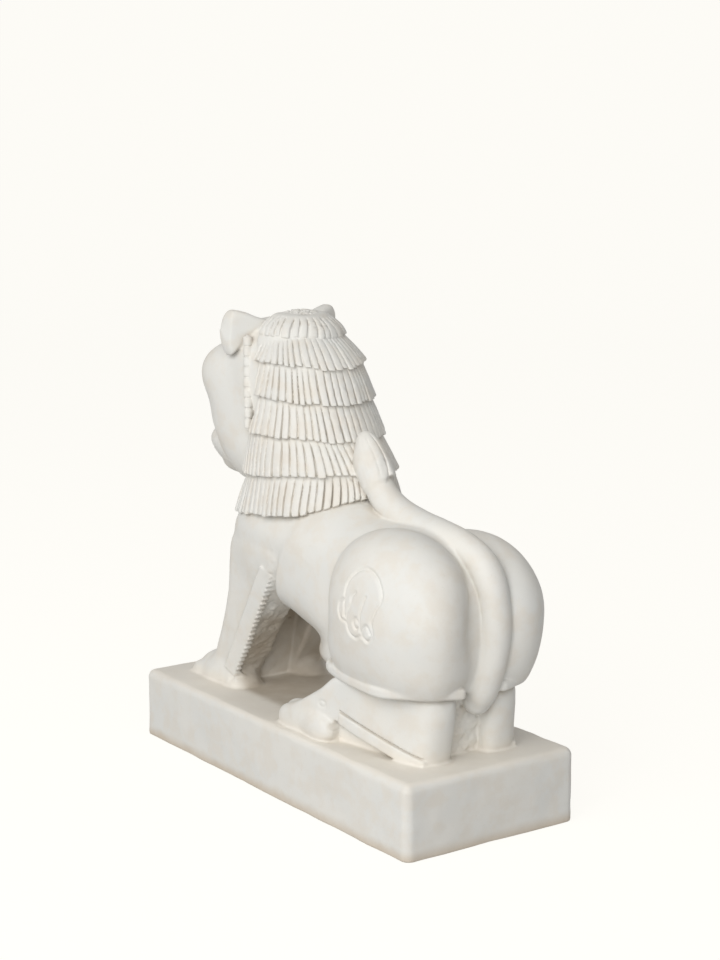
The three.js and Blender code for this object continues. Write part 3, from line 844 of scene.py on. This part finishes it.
def ear(spots, fine):
    """A leaf with a ridge between its back and outer faces and a hollow in front."""
    top = swell(spots.side, EAR_TOP)
    foot = swell(spots.side, EAR_FOOT)
    x, y, slope = EAR_BACK
    back = np.float32(0.92) * (spots.y - y + slope * (spots.side - x))
    x, y, slope = EAR_OUTER
    outer = np.float32(0.93) * (spots.side - x + slope * (spots.y - y) - 2 * ease(620, 590, spots.z))
    leaf = overlap(overlap(back, outer, 1.5), EAR_FRONT - spots.y, 6)
    leaf = overlap(leaf, 0.8 * (spots.z - top), 9)
    leaf = overlap(leaf, 0.7 * (foot - spots.z), 9)
    return cut(leaf, egg(spots.from_side(), EAR_HOLLOW), 4)


def face(spots, fine):
    """Skull, cheeks, brow and muzzle run together, with eyes, nose, lips and teeth cut in."""
    folded = spots.from_side()
    head = join_eggs(egg(spots, SKULL), folded, HEAD_FORMS)
    head = cut(head, egg(folded, JOWL_CUT), 12)
    head = join(head, join_eggs(egg(spots, MUZZLE), folded, MUZZLE_FORMS), 9)
    if fine:
        head = cut(head, mouth(folded), 3)
        head = join(head, teeth(folded), 1)
        head = cut(head, egg(folded, NOSTRIL_HOLE), 2)
        y, z, radius, half = PHILTRUM
        philtrum = np.hypot(spots.x, 0.5 * (spots.y - y)) - radius
        head = cut(head, np.maximum(philtrum, np.abs(spots.z - z) - half), 3)
        head = join(eye(folded, head), egg(folded, BROW_RIDGE), 7)
    return join(head, ear(spots, fine), 5)


def mouth_rise(folded):
    """How far the mouth's line rises towards its corners, as the square of the distance from the middle."""
    return MOUTH_CURL * (folded.x / MOUTH_SPAN) ** 2


def mouth(folded):
    """A slot that curves up towards its corners."""
    return egg(Spots(folded.x, folded.y, folded.z - mouth_rise(folded)), MOUTH)


def teeth(folded):
    """Teeth in an arc behind the lips, the third one on each side long."""
    half_x, half_y = TEETH_ARC
    arc = np.hypot(folded.x / half_x, (folded.y - TEETH_MIDDLE) / half_y)
    count = np.floor(folded.x / TOOTH_PITCH)
    share = folded.x / TOOTH_PITCH - count - 0.5
    long = np.where(count == LONG_TOOTH, np.float32(7), np.float32(2))
    tooth = np.maximum(np.abs(share) * TOOTH_PITCH - TOOTH_HALF, np.abs(arc - 0.96) * half_x - 4)
    level = folded.z - MOUTH[0][2] - mouth_rise(folded)
    tooth = np.maximum(tooth, np.abs(level + long / 2) - 5 - long / 2)
    return np.maximum(tooth, folded.x - TEETH_END)


def eye(folded, head):
    """A ball between two lids: the lids are a thicker ball with an almond opening."""
    centre, radii = EYE
    x, _, z = centre
    ball = egg(folded, EYE)
    wide, tall = EYE_OPENING
    opening = np.abs(folded.z - z) - tall * np.clip(1 - ((folded.x - x) / wide) ** 2, 0, 1)
    lids = overlap(ball - LID_THICK, -opening, 2)
    head = cut(head, np.maximum(egg(folded, (centre, [r + EYE_SOCKET for r in radii])), opening), 3)
    radius, width = PUPIL_RING
    ring = width * bell(np.hypot(folded.x - x, folded.z - z) - radius, width)
    return join(join(head, lids, 5), ball + ring, 1)


# Forms of the body: each with the low and high corner of its box, and its blend
FRONT_FORMS = (
    (foreleg, (20, -250, 60), (95, 10, 330), 20),
    (leg_fringe, (60, -190, 110), (95, -40, 300), 1.5),
    (chest_web, (0, -215, 80), (40, -100, 290), 4),
)
REAR_FORMS = (
    (haunch, (0, 60, 180), (132, 325, 390), 4.5),
    (hind_foot, (20, -10, 60), (136, 300, 200), 4),
    (heel_web, (0, 110, 80), (50, 295, 265), 4),
    (knee_band, (10, 75, 180), (118, 315, 206), 2),
    (forepaw, (20, -300, 60), (95, -140, 155), 10),
)


def join_near(distance, spots, forms, fine):
    """The distance with forms joined to it in turn, each worked out only near its box."""
    for form, low, high, blend in forms:
        distance = join(distance, local(form, spots, low, high, fine), blend)
    return distance


def body(spots, fine):
    """Trunk, chest, legs and haunches joined, with a crease at the elbow that fades upwards."""
    barrel = trunk(spots, fine) - TRUNK_PROUD
    flank = overlap(barrel, 0.8 * (swell(spots.z, ELBOW_LINE) - spots.y), 7)
    flank = join(flank, barrel + ELBOW_STEP * ease(ELBOW_FADE[1], ELBOW_FADE[0], spots.z), 4)
    chest = join(egg(spots, CHEST), egg(spots, SHOULDER), 20)
    rear = join(join(flank, egg(spots, RUMP), 20), egg(spots.from_side(), KNEE_WEB), 26)
    front = join_near(chest, spots, FRONT_FORMS, fine)
    whole = join(rear, front, mix(2.5, 18, ease(*ELBOW_FADE, spots.z)))
    return join_near(whole, spots, REAR_FORMS, fine)


def lion_stone(spots, fine):
    """The plinth with the lion's body, legs and tail."""
    lion = local(body, spots, (0, -310, 60), (140, 330, 430), fine)
    block = join(local(plinth, spots, (0, -340, -20), (150, 340, 110), fine), lion, 5)
    block = join(block, local(tail, spots, (0, 40, 140), (50, 326, 475), fine), 4)
    return np.maximum(worn_skin(block, spots), -spots.z) if fine else block


def head_stone(spots, fine):
    """The head with its hood of hair, and the tuft of the tail that lies on it."""
    turned = Spots(spots.x - np.float32(HEAD_SHIFT), spots.y, spots.z)
    head = local(face, turned, (0, -310, 390), (105, -20, 655), fine)
    hair = local(mane, turned, (0, -220, 350), (112, 75, 655), fine)
    block = join(head, hair, 1.5)
    block = join(block, local(tail_end, spots, (0, 10, 390), (34, 120, 520), fine), 2.5)
    return worn_skin(block, spots) if fine else block


def tail_end(spots, fine):
    """The tuft run smoothly into the tail on the left and cut off short on the right."""
    rod = np.maximum(tail(spots, fine) + TAIL_INSET, spots.y - TAIL_CUT)
    return join(tuft(spots, fine), rod, mix(1.5, 16, ease(*TUFT_TURN, spots.x)))


def worn_skin(distance, spots):
    """Slow waves and fine unevenness left by hand tools."""
    return roughened(distance, spots, SKIN_WAVES)


def stone(spots, fine):
    """The whole block."""
    return np.minimum(lion_stone(spots, fine), head_stone(spots, fine))


# Surface of a distance field

COARSE_LEVELS = 3
COARSE_MARGIN = 8
# Cubes kept, as how many of their sizes the surface may be away
COARSE_NEAR = 1.1
FINE_NEAR = 2.5
BATCH = 60000
CORNERS = np.array(list(np.ndindex(2, 2, 2)), np.int32)


def sample(form, points, fine):
    """A form's distance at an array of points, in batches on all cores."""

    def batch(start):
        x, y, z = np.ascontiguousarray(points[start : start + BATCH].T)
        return form(Spots(x, y, z), fine)

    with ThreadPoolExecutor() as pool:
        return np.concatenate(list(pool.map(batch, range(0, len(points), BATCH))))


def cells_near_surface(form, low, high, cell):
    """Cubes that the surface may cross: far ones are dropped and near ones halved, level by level."""
    size = cell * 2**COARSE_LEVELS
    count = np.ceil((high - low) / size).astype(int)
    cells = np.array(list(np.ndindex(*count)), np.int32)
    for level in range(COARSE_LEVELS):
        fine = level == COARSE_LEVELS - 1
        distance = np.abs(sample(form, low + (cells + np.float32(0.5)) * np.float32(size), fine))
        cells = cells[distance < (FINE_NEAR * size if fine else COARSE_NEAR * size + COARSE_MARGIN)]
        cells = (cells[:, None, :] * 2 + CORNERS[None]).reshape(-1, 3)
        size = size / 2
    return cells, count * 2**COARSE_LEVELS + 1


def crossed_edges(field, known, axis):
    """Starts of the grid edges along an axis whose ends lie on either side of the surface."""
    first = tuple(slice(None, -1) if k == axis else slice(None) for k in range(3))
    second = tuple(slice(1, None) if k == axis else slice(None) for k in range(3))
    crosses = ((field[first] < 0) != (field[second] < 0)) & known[first] & known[second]
    return np.argwhere(crosses)


def cubes_round(edges, axis):
    """The four cubes round each edge, in order about it."""
    _, u, v = (np.roll((1, 0, 0), axis + turn) for turn in range(3))
    return np.stack([edges - u - v, edges - v, edges, edges - u], 1)


def sampled_grid(form, low, high, cell):
    """The field near the surface; cubes are added until each crossed edge has all four round it."""
    new, shape = cells_near_surface(form, low, high, cell)
    listed = np.zeros(shape, bool)
    known = np.zeros(shape, bool)
    field = np.full(shape, FAR, np.float32)
    while len(new):
        listed[tuple(new.T)] = True
        first = np.maximum(new.min(0) - 1, 0)
        box = tuple(slice(start, end) for start, end in zip(first, new.max(0) + 2))
        fresh = np.zeros(known[box].shape, bool)
        for step in CORNERS:
            fresh[tuple((new - first + step).T)] = True
        fresh &= ~known[box]
        nodes = (np.argwhere(fresh) + first).astype(np.float32)
        if len(nodes):
            field[box][fresh] = sample(form, low + nodes * np.float32(cell), True)
        known[box] |= fresh
        edges = [crossed_edges(field[box], known[box], axis) + first for axis in range(3)]
        cubes = np.vstack([cubes_round(edges[axis], axis).reshape(-1, 3) for axis in range(3)])
        new = np.unique(cubes[~listed[tuple(cubes.T)]], axis=0)
    return field, known, np.argwhere(listed)


def surface_net(form, low, high, cell):
    """One vertex in each cube the surface crosses, at the mean of its edge crossings, and one face for
    each cube edge that is crossed, between the four cubes round it."""
    field, known, cells = sampled_grid(form, low, high, cell)
    values = np.stack([field[tuple((cells + step).T)] for step in CORNERS], 1)
    inside = values < 0
    crossed = inside.any(1) & ~inside.all(1)
    cells, values, inside = cells[crossed], values[crossed], inside[crossed]
    number = np.full(field.shape, -1, np.int32)
    number[tuple(cells.T)] = np.arange(len(cells))
    total = np.zeros((len(cells), 3), np.float32)
    hits = np.zeros(len(cells), np.float32)
    for first, step in enumerate(CORNERS):
        for axis in np.flatnonzero(step == 0):
            second = first + (4, 2, 1)[axis]
            crosses = inside[:, first] != inside[:, second]
            span = np.where(crosses, values[:, first] - values[:, second], 1)
            place = np.tile(step.astype(np.float32), (len(cells), 1))
            place[:, axis] += values[:, first] / span
            total += place * crosses[:, None]
            hits += crosses
    vertices = (cells + total / hits[:, None]) * np.float32(cell) + low
    return vertices, net_faces(field, known, number)


def net_faces(field, known, number):
    """A face round each crossed edge, turned so that it faces out of the stone."""
    faces = []
    for axis in range(3):
        edges = crossed_edges(field, known, axis)
        corners = number[tuple(cubes_round(edges, axis).transpose(2, 0, 1))]
        leaving = field[tuple(edges.T)] < 0
        faces += [corners[leaving], corners[~leaving, ::-1]]
    return np.vstack(faces)


def largest_shell(vertices, faces):
    """The biggest connected piece: each vertex takes its neighbours' lowest number until none change."""
    label = np.arange(len(vertices))
    while True:
        lowest = label[faces].min(1)
        new = label.copy()
        for k in range(4):
            np.minimum.at(new, faces[:, k], lowest)
        new = new[new]
        if (new == label).all():
            break
        label = new
    kept = label == np.bincount(label).argmax()
    renumber = np.cumsum(kept) - 1
    return vertices[kept], renumber[faces[kept[faces[:, 0]]]]


# Gap under the belly: where its brown grime and painted shade start and where they are full
GAP_SIDE = (84, 64)
GAP_FRONT = (-205, -165)
GAP_REAR = (140, 85)
GAP_TOP = (236, 204)
GAP_FLOOR = (92, 101)

# How far out along the normal, and whether the fine carving counts
HOLLOW_REACHES = ((3, True), (9, False), (24, False))


def hollowness(vertices, normals):
    """Share by which the stone is nearer than it should be, some way out along the normal."""
    shut = np.zeros(len(vertices), np.float32)
    for reach, fine in HOLLOW_REACHES:
        distance = sample(stone, vertices + normals * np.float32(reach), fine)
        shut += np.clip(1 - distance / reach, 0, 1) / len(HOLLOW_REACHES)
    return shut


def belly_shade_mask(vertices):
    """Share of painted shade and brown grime at a point in the gap under the belly: smooth steps across,
    along and up, multiplied.
    """
    x, y, z = np.abs(vertices[:, 0]), vertices[:, 1], vertices[:, 2]
    across = ease(*GAP_SIDE, x)
    lengthwise = ease(*GAP_FRONT, y) * ease(*GAP_REAR, y)
    return (across * lengthwise * ease(*GAP_TOP, z) * ease(*GAP_FLOOR, z)).astype(np.float32)


# Materials


class Value:
    """A socket of a node tree; arithmetic on it adds Math nodes."""

    def __init__(self, tree, socket=None):
        self.tree = tree
        self.socket = socket

    def node(self, kind, settings=None, inputs=None, output=0):
        """Any node: its settings are made first, then its sockets get their values or links."""
        made = self.tree.nodes.new(kind)
        for name, setting in (settings or {}).items():
            setattr(made, name, setting)
        for name, given in (inputs or {}).items():
            if isinstance(given, Value):
                self.tree.links.new(given.socket, made.inputs[name])
            else:
                made.inputs[name].default_value = given
        return Value(self.tree, made.outputs[output])

    def math(self, operation, first, second):
        """A Math node on two values."""
        return self.node("ShaderNodeMath", {"operation": operation}, {0: first, 1: second})

    def __add__(self, other):
        return self.math("ADD", self, other)

    def __sub__(self, other):
        return self.math("SUBTRACT", self, other)

    def __rsub__(self, other):
        return self.math("SUBTRACT", other, self)

    def __mul__(self, other):
        return self.math("MULTIPLY", self, other)

    __radd__ = __add__
    __rmul__ = __mul__

    def step(self, start, end):
        """A smooth step from 0 at start to 1 at end."""
        inputs = {"Value": self, "From Min": start, "From Max": end}
        return self.node("ShaderNodeMapRange", {"interpolation_type": "SMOOTHSTEP"}, inputs)

    def tint(self, first, second):
        """A colour from the first to the second by this share."""
        return self.node("ShaderNodeMix", {"data_type": "RGBA"}, {0: self, 6: first, 7: second}, 2)


def new_material(name):
    """An empty node tree with its shader and output, as (material, principled node, maker of nodes)."""
    material = bpy.data.materials.new(name)
    material.use_nodes = True
    shader = material.node_tree.nodes["Principled BSDF"]
    return material, shader, Value(material.node_tree)


# Noise textures as scale and detail
CLOUD_GRAIN = (9.0, 4.0)
SPECK_GRAIN = (260.0, 2.0)
PATCH_GRAIN = (34.0, 4.0)
CHISEL_GRAIN = (120.0, 3.0)
PIT_GRAIN = (620.0, 2.0)
GRAIN_ROUGHNESS = 0.55
# Heights in metres between which the plinth's top grime and foot stain come in or fade
LEDGE_FOOT = (0.094, 0.0995)
LEDGE_TOP = (0.136, 0.114)
STAIN_TOP = (0.026, 0.009)
PATCH_SHARE = 0.6
SPECK_SHARE = 0.25
BUMP_STRENGTH = 0.16
BUMP_DEPTH = 1.2 * MM


def grain(maker, place, scale, detail):
    """Noise from 0 to 1 over the object's own coordinates."""
    inputs = {"Vector": place, "Scale": scale, "Detail": detail, "Roughness": GRAIN_ROUGHNESS}
    return maker.node("ShaderNodeTexNoise", None, inputs)


def marble_material(look):
    """Pale marble: clouds, patches and specks by noise, beige on the plinth's top, brown grime with painted
    shade under the belly, dust with painted shade in the hollows, a stain at the foot and a pitted surface."""
    material, shader, maker = new_material(CARVED_MARBLE)
    place = maker.node("ShaderNodeTexCoord", output=3)
    height = maker.node("ShaderNodeSeparateXYZ", None, {"Vector": place}, 2)
    hollow = maker.node("ShaderNodeAttribute", {"attribute_name": "hollow"}, output=2)
    belly_shade = maker.node("ShaderNodeAttribute", {"attribute_name": "belly_shade"}, output=2)
    cloud = grain(maker, place, *CLOUD_GRAIN)
    speck = grain(maker, place, *SPECK_GRAIN)
    patch = grain(maker, place, *PATCH_GRAIN)
    pale = (*look.marble, 1)
    tone = cloud.step(0.35, 0.7).tint(pale, (*look.cool_cloud, 1))
    tone = (patch.step(0.42, 0.66) * PATCH_SHARE).tint(tone, (*look.warm_patch, 1))
    tone = (speck.step(0.6, 0.8) * SPECK_SHARE).tint(tone, (*look.grey_speck, 1))
    ledge = height.step(*LEDGE_FOOT) * (height + 0.03 * patch).step(*LEDGE_TOP)
    tone = (ledge * (0.45 + 0.5 * cloud)).tint(tone, (*look.ledge, 1))
    # Brown grime and painted shade darken the stone in the gap under the belly
    tone = (belly_shade * (0.7 + 0.6 * patch) * look.belly_shade_share).tint(tone, (*look.belly_grime_and_shade, 1))
    # Dust and painted shade in the hollows, more where the stone closes in round a point
    dust_and_shade = (hollow + 0.25 * patch - 0.12).step(0.3, 0.92) * look.dust_and_shade_share
    tone = dust_and_shade.tint(tone, (*look.dust_and_shade, 1))
    stain = (height + 0.016 * patch).step(*STAIN_TOP) * (0.35 + 0.5 * cloud)
    tone = stain.tint(tone, (*look.foot_stain, 1))
    maker.tree.links.new(tone.socket, shader.inputs["Base Color"])
    rough_share = 0.5 + 0.18 * patch
    maker.tree.links.new(rough_share.socket, shader.inputs["Roughness"])
    chisel = grain(maker, place, *CHISEL_GRAIN)
    pits = grain(maker, place, *PIT_GRAIN)
    relief = 0.7 * chisel + 0.3 * pits
    inputs = {"Strength": BUMP_STRENGTH, "Distance": BUMP_DEPTH, "Height": relief}
    bump = maker.node("ShaderNodeBump", None, inputs)
    maker.tree.links.new(bump.socket, shader.inputs["Normal"])
    shader.inputs["Specular IOR Level"].default_value = 0.35
    return material


def floor_material(stage):
    """A pale sweep, evenly bright, that still takes a soft shadow."""
    material, shader, _ = new_material("studio_sweep")
    shader.inputs["Base Color"].default_value = (*stage.floor_colour, 1)
    shader.inputs["Roughness"].default_value = 0.9
    shader.inputs["Specular IOR Level"].default_value = 0.0
    shader.inputs["Emission Color"].default_value = (*stage.glow_colour, 1)
    shader.inputs["Emission Strength"].default_value = stage.glow
    return material


# Settings


class MarbleLook(bpy.types.PropertyGroup):
    """Colours of the stone, its dirt and its painted shade."""

    marble: bpy.props.FloatVectorProperty(
        name="Marble", description="Clean stone", default=(0.772, 0.757, 0.715), subtype="COLOR"
    )
    cool_cloud: bpy.props.FloatVectorProperty(
        name="Cloud",
        description="Cool clouds in the stone",
        default=(0.742, 0.742, 0.718),
        subtype="COLOR",
    )
    warm_patch: bpy.props.FloatVectorProperty(
        name="Patch", description="Warm patches", default=(0.735, 0.692, 0.622), subtype="COLOR"
    )
    grey_speck: bpy.props.FloatVectorProperty(
        name="Speck", description="Grey grains", default=(0.64, 0.625, 0.59), subtype="COLOR"
    )
    # Colour of the dust and painted shade in the hollows
    dust_and_shade: bpy.props.FloatVectorProperty(
        name="Dust", description="Dust in the hollows", default=(0.43, 0.37, 0.29), subtype="COLOR"
    )
    # How far the dust and painted shade in the hollows hide the stone
    dust_and_shade_share: bpy.props.FloatProperty(
        name="Dust share",
        description="How far dust hides the stone",
        default=0.32,
        subtype="FACTOR",
    )
    # How far the brown grime and painted shade under the belly hide the stone
    belly_shade_share: bpy.props.FloatProperty(
        name="Shelter share",
        description="How far dust hides stone under the belly",
        default=0.7,
        subtype="FACTOR",
    )
    # Colour of the brown grime and painted shade under the belly
    belly_grime_and_shade: bpy.props.FloatVectorProperty(
        name="Shade dirt",
        description="Brown grime under the belly",
        default=(0.36, 0.3, 0.225),
        subtype="COLOR",
    )
    ledge: bpy.props.FloatVectorProperty(
        name="Ledge",
        description="Beige grime on top of the plinth",
        default=(0.785, 0.74, 0.665),
        subtype="COLOR",
    )
    foot_stain: bpy.props.FloatVectorProperty(
        name="Foot stain",
        description="Stain along the foot of the plinth",
        default=(0.55, 0.44, 0.31),
        subtype="COLOR",
    )


class CarvingSizes(bpy.types.PropertyGroup):
    """Fineness of the carved meshes."""

    body_cell: bpy.props.FloatProperty(
        name="Body cell",
        description="Sampling pitch of plinth and body",
        default=1.5 * MM,
        unit="LENGTH",
        precision=4,
    )
    head_cell: bpy.props.FloatProperty(
        name="Head cell",
        description="Sampling pitch of head and mane",
        default=1.0 * MM,
        unit="LENGTH",
        precision=4,
    )
    triangles: bpy.props.IntProperty(
        name="Triangles", description="Most triangles in one finished mesh", default=190000
    )


class StageLook(bpy.types.PropertyGroup):
    """Floor, light and camera."""

    floor_colour: bpy.props.FloatVectorProperty(
        name="Floor", description="Floor colour", default=(0.12, 0.119, 0.115), subtype="COLOR"
    )
    glow_colour: bpy.props.FloatVectorProperty(
        name="Glow",
        description="Even brightness of the sweep",
        default=(1.0, 0.985, 0.94),
        subtype="COLOR",
    )
    glow: bpy.props.FloatProperty(name="Glow strength", description="Brightness of the sweep", default=0.93)
    sky: bpy.props.FloatProperty(name="Sky", description="Strength of the even light", default=0.36)
    key: bpy.props.FloatProperty(
        name="Key", description="Power of the soft key light", default=45.0, unit="POWER"
    )
    fill: bpy.props.FloatProperty(
        name="Fill", description="Power of the soft fill light", default=54.0, unit="POWER"
    )
    lens: bpy.props.FloatProperty(
        name="Lens",
        description="Focal length over a 36 mm sensor",
        default=71.25,
        subtype="DISTANCE_CAMERA",
    )


# Operators


def carved_piece(name, form, low, high, cell, triangles):
    """A form's surface as an object, thinned to the triangle limit and marked with its hollows."""
    low, high = (np.array(end, np.float32) for end in (low, high))
    cell = cell / MM * 1
    vertices, faces = largest_shell(*surface_net(form, low, high, cell))
    mesh = bpy.data.meshes.new(name)
    mesh.from_pydata(vertices * MM, [], faces)
    piece = bpy.data.objects.new(name, mesh)
    bpy.context.scene.collection.objects.link(piece)
    thin = piece.modifiers.new("Thin", "DECIMATE")
    thin.ratio = min(1.0, triangles / (2 * len(faces)))
    graph = bpy.context.evaluated_depsgraph_get()
    thinned = bpy.data.meshes.new_from_object(piece.evaluated_get(graph))
    piece.modifiers.clear()
    piece.data = thinned
    bpy.data.meshes.remove(mesh)
    thinned.name = name
    mark_hollows(thinned)
    thinned.shade_smooth()
    return piece


def mark_hollows(mesh):
    """Shares from 0 to 1 on each vertex for how shut in it is and how far under the belly."""
    count = len(mesh.vertices)
    places = np.empty(count * 3, np.float32)
    normals = np.empty(count * 3, np.float32)
    mesh.vertices.foreach_get("co", places)
    mesh.vertex_normals.foreach_get("vector", normals)
    vertices = places.reshape(-1, 3) / np.float32(MM)
    shut = hollowness(vertices, normals.reshape(-1, 3))
    # How shut in each vertex is, which sets the dust and painted shade in the hollows
    mesh.attributes.new("hollow", "FLOAT", "POINT").data.foreach_set("value", shut)
    # Where the painted shade and brown grime under the belly go
    mesh.attributes.new("belly_shade", "FLOAT", "POINT").data.foreach_set("value", belly_shade_mask(vertices))


class CarvingOperator:
    """What the carving operators share: each makes a closed marble mesh that stands for the CAD solid."""

    bl_options = {"REGISTER", "UNDO"}

    def carve(self, context, name, form, low, high, cell):
        sizes = context.scene.shardul_sizes
        piece = carved_piece(name, form, low, high, cell, sizes.triangles)
        material = bpy.data.materials.get(CARVED_MARBLE) or marble_material(context.scene.shardul_marble)
        piece.data.materials.clear()
        piece.data.materials.append(material)
        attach(piece, "root")
        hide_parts(CAD_NODE)
        return {"FINISHED"}


BODY_BOX = ((-146, -338, -6), (146, 338, 480))
HEAD_BOX = ((-118, -322, 346), (118, 122, 660))


class SHARDUL_OT_body(CarvingOperator, bpy.types.Operator):
    """Carves the plinth with the lion's body, legs and tail"""

    bl_idname = "shardul.body"
    bl_label = "Carve plinth and body"

    def execute(self, context):
        cell = context.scene.shardul_sizes.body_cell
        return self.carve(context, "marble_lion_and_plinth", lion_stone, *BODY_BOX, cell)


class SHARDUL_OT_head(CarvingOperator, bpy.types.Operator):
    """Carves the head with its mane and the tuft of the tail"""

    bl_idname = "shardul.head"
    bl_label = "Carve head and mane"

    def execute(self, context):
        cell = context.scene.shardul_sizes.head_cell
        return self.carve(context, "marble_head_and_mane", head_stone, *HEAD_BOX, cell)


CAMERA_PLACE = (1.4596, 2.1132, 0.8682)
CAMERA_AZIMUTH = 144.912
CAMERA_PITCH = 9.896
SENSOR = 36
KEY_PLACE = (2.7, 0.65, 2.2)
FILL_PLACE = (2.25, 2.25, 1.5)
LIGHT_AIM = (0, 0.05, 0.3)
LIGHT_SIZE = 2.4
LIGHT_COLOUR = (1.0, 0.99, 0.97)
SWEEP_NEAR = 5.0
SWEEP_FAR = 6.0
SWEEP_BEND = 2.0
SWEEP_RISE = 6.0
SWEEP_HALF = 9.0
SWEEP_STEPS = 25


def sweep_mesh():
    """A floor that bends up into a wall, turned to the camera: a straight, a quarter arc and an upright
    carried sideways."""
    arc = np.linspace(0, np.pi / 2, SWEEP_STEPS)
    run = np.concatenate([[-SWEEP_NEAR], SWEEP_FAR + SWEEP_BEND * np.sin(arc), [SWEEP_FAR + SWEEP_BEND]])
    rise = np.concatenate([[0], SWEEP_BEND * (1 - np.cos(arc)), [SWEEP_RISE]])
    turn = math.radians(CAMERA_AZIMUTH)
    away = np.array([-math.sin(turn), math.cos(turn)])
    across = np.array([away[1], -away[0]])
    sides = np.array([-SWEEP_HALF, SWEEP_HALF])
    flat = run[:, None, None] * away + sides[None, :, None] * across
    up = np.broadcast_to(rise[:, None, None], (len(run), 2, 1))
    vertices = np.concatenate([flat, up], 2).reshape(-1, 3)
    first = 2 * np.arange(len(run) - 1)
    faces = np.stack([first, first + 2, first + 3, first + 1], 1)
    mesh = bpy.data.meshes.new("studio_sweep")
    mesh.from_pydata(vertices, [], faces)
    mesh.shade_smooth()
    return mesh


class SHARDUL_OT_stage(bpy.types.Operator):
    """Sets the floor, the light and the camera"""

    bl_idname = "shardul.stage"
    bl_label = "Set the stage"

    def execute(self, context):
        scene = context.scene
        look = scene.shardul_stage
        sweep = bpy.data.objects.new("studio_sweep", sweep_mesh())
        sweep.data.materials.append(floor_material(look))
        scene.collection.objects.link(sweep)
        sweep.visible_diffuse = False
        self.add_light(scene, look)
        self.add_camera(scene, look)
        scene.view_settings.view_transform = "Standard"
        return {"FINISHED"}

    def add_light(self, scene, look):
        """An even sky and two broad lights on the lion's left, the key high and the fill behind."""
        world = bpy.data.worlds.new("studio_sky")
        world.use_nodes = True
        sky = world.node_tree.nodes["Background"]
        sky.inputs["Color"].default_value = (*LIGHT_COLOUR, 1)
        sky.inputs["Strength"].default_value = look.sky
        scene.world = world
        for name, power, place in (("key", look.key, KEY_PLACE), ("fill", look.fill, FILL_PLACE)):
            lamp = bpy.data.lights.new(name, "AREA")
            lamp.energy = power
            lamp.size = LIGHT_SIZE
            lamp.color = LIGHT_COLOUR
            light = bpy.data.objects.new(name, lamp)
            light.location = place
            aim = Vector(LIGHT_AIM) - light.location
            light.rotation_euler = aim.to_track_quat("-Z", "Y").to_euler()
            scene.collection.objects.link(light)

    def add_camera(self, scene, look):
        """The photograph's viewing angle."""
        data = bpy.data.cameras.new("camera")
        data.lens = look.lens
        data.sensor_width = SENSOR
        camera = bpy.data.objects.new("camera", data)
        camera.location = CAMERA_PLACE
        camera.rotation_euler = (math.radians(90 - CAMERA_PITCH), 0, math.radians(CAMERA_AZIMUTH))
        scene.collection.objects.link(camera)
        scene.camera = camera


class SHARDUL_PT_panel(bpy.types.Panel):
    """Lists the statue's operators and settings"""

    bl_label = "Shardul"
    bl_idname = "SHARDUL_PT_panel"
    bl_space_type = "VIEW_3D"
    bl_region_type = "UI"
    bl_category = "Shardul"

    def draw(self, context):
        layout = self.layout
        scene = context.scene
        for operator in (SHARDUL_OT_body, SHARDUL_OT_head, SHARDUL_OT_stage):
            layout.operator(operator.bl_idname)
        for group in (scene.shardul_marble, scene.shardul_sizes, scene.shardul_stage):
            box = layout.box()
            for name in group.bl_rna.properties.keys():
                if name not in ("rna_type", "name"):
                    box.prop(group, name)


CLASSES = (
    MarbleLook,
    CarvingSizes,
    StageLook,
    SHARDUL_OT_body,
    SHARDUL_OT_head,
    SHARDUL_OT_stage,
    SHARDUL_PT_panel,
)


def register():
    for cls in CLASSES:
        bpy.utils.register_class(cls)
    bpy.types.Scene.shardul_marble = bpy.props.PointerProperty(type=MarbleLook)
    bpy.types.Scene.shardul_sizes = bpy.props.PointerProperty(type=CarvingSizes)
    bpy.types.Scene.shardul_stage = bpy.props.PointerProperty(type=StageLook)


def unregister():
    del bpy.types.Scene.shardul_marble
    del bpy.types.Scene.shardul_sizes
    del bpy.types.Scene.shardul_stage
    for cls in reversed(CLASSES):
        bpy.utils.unregister_class(cls)


def main():
    register()
    bpy.ops.shardul.body()
    bpy.ops.shardul.head()
    bpy.ops.shardul.stage()


if __name__ == "__main__":
    main()
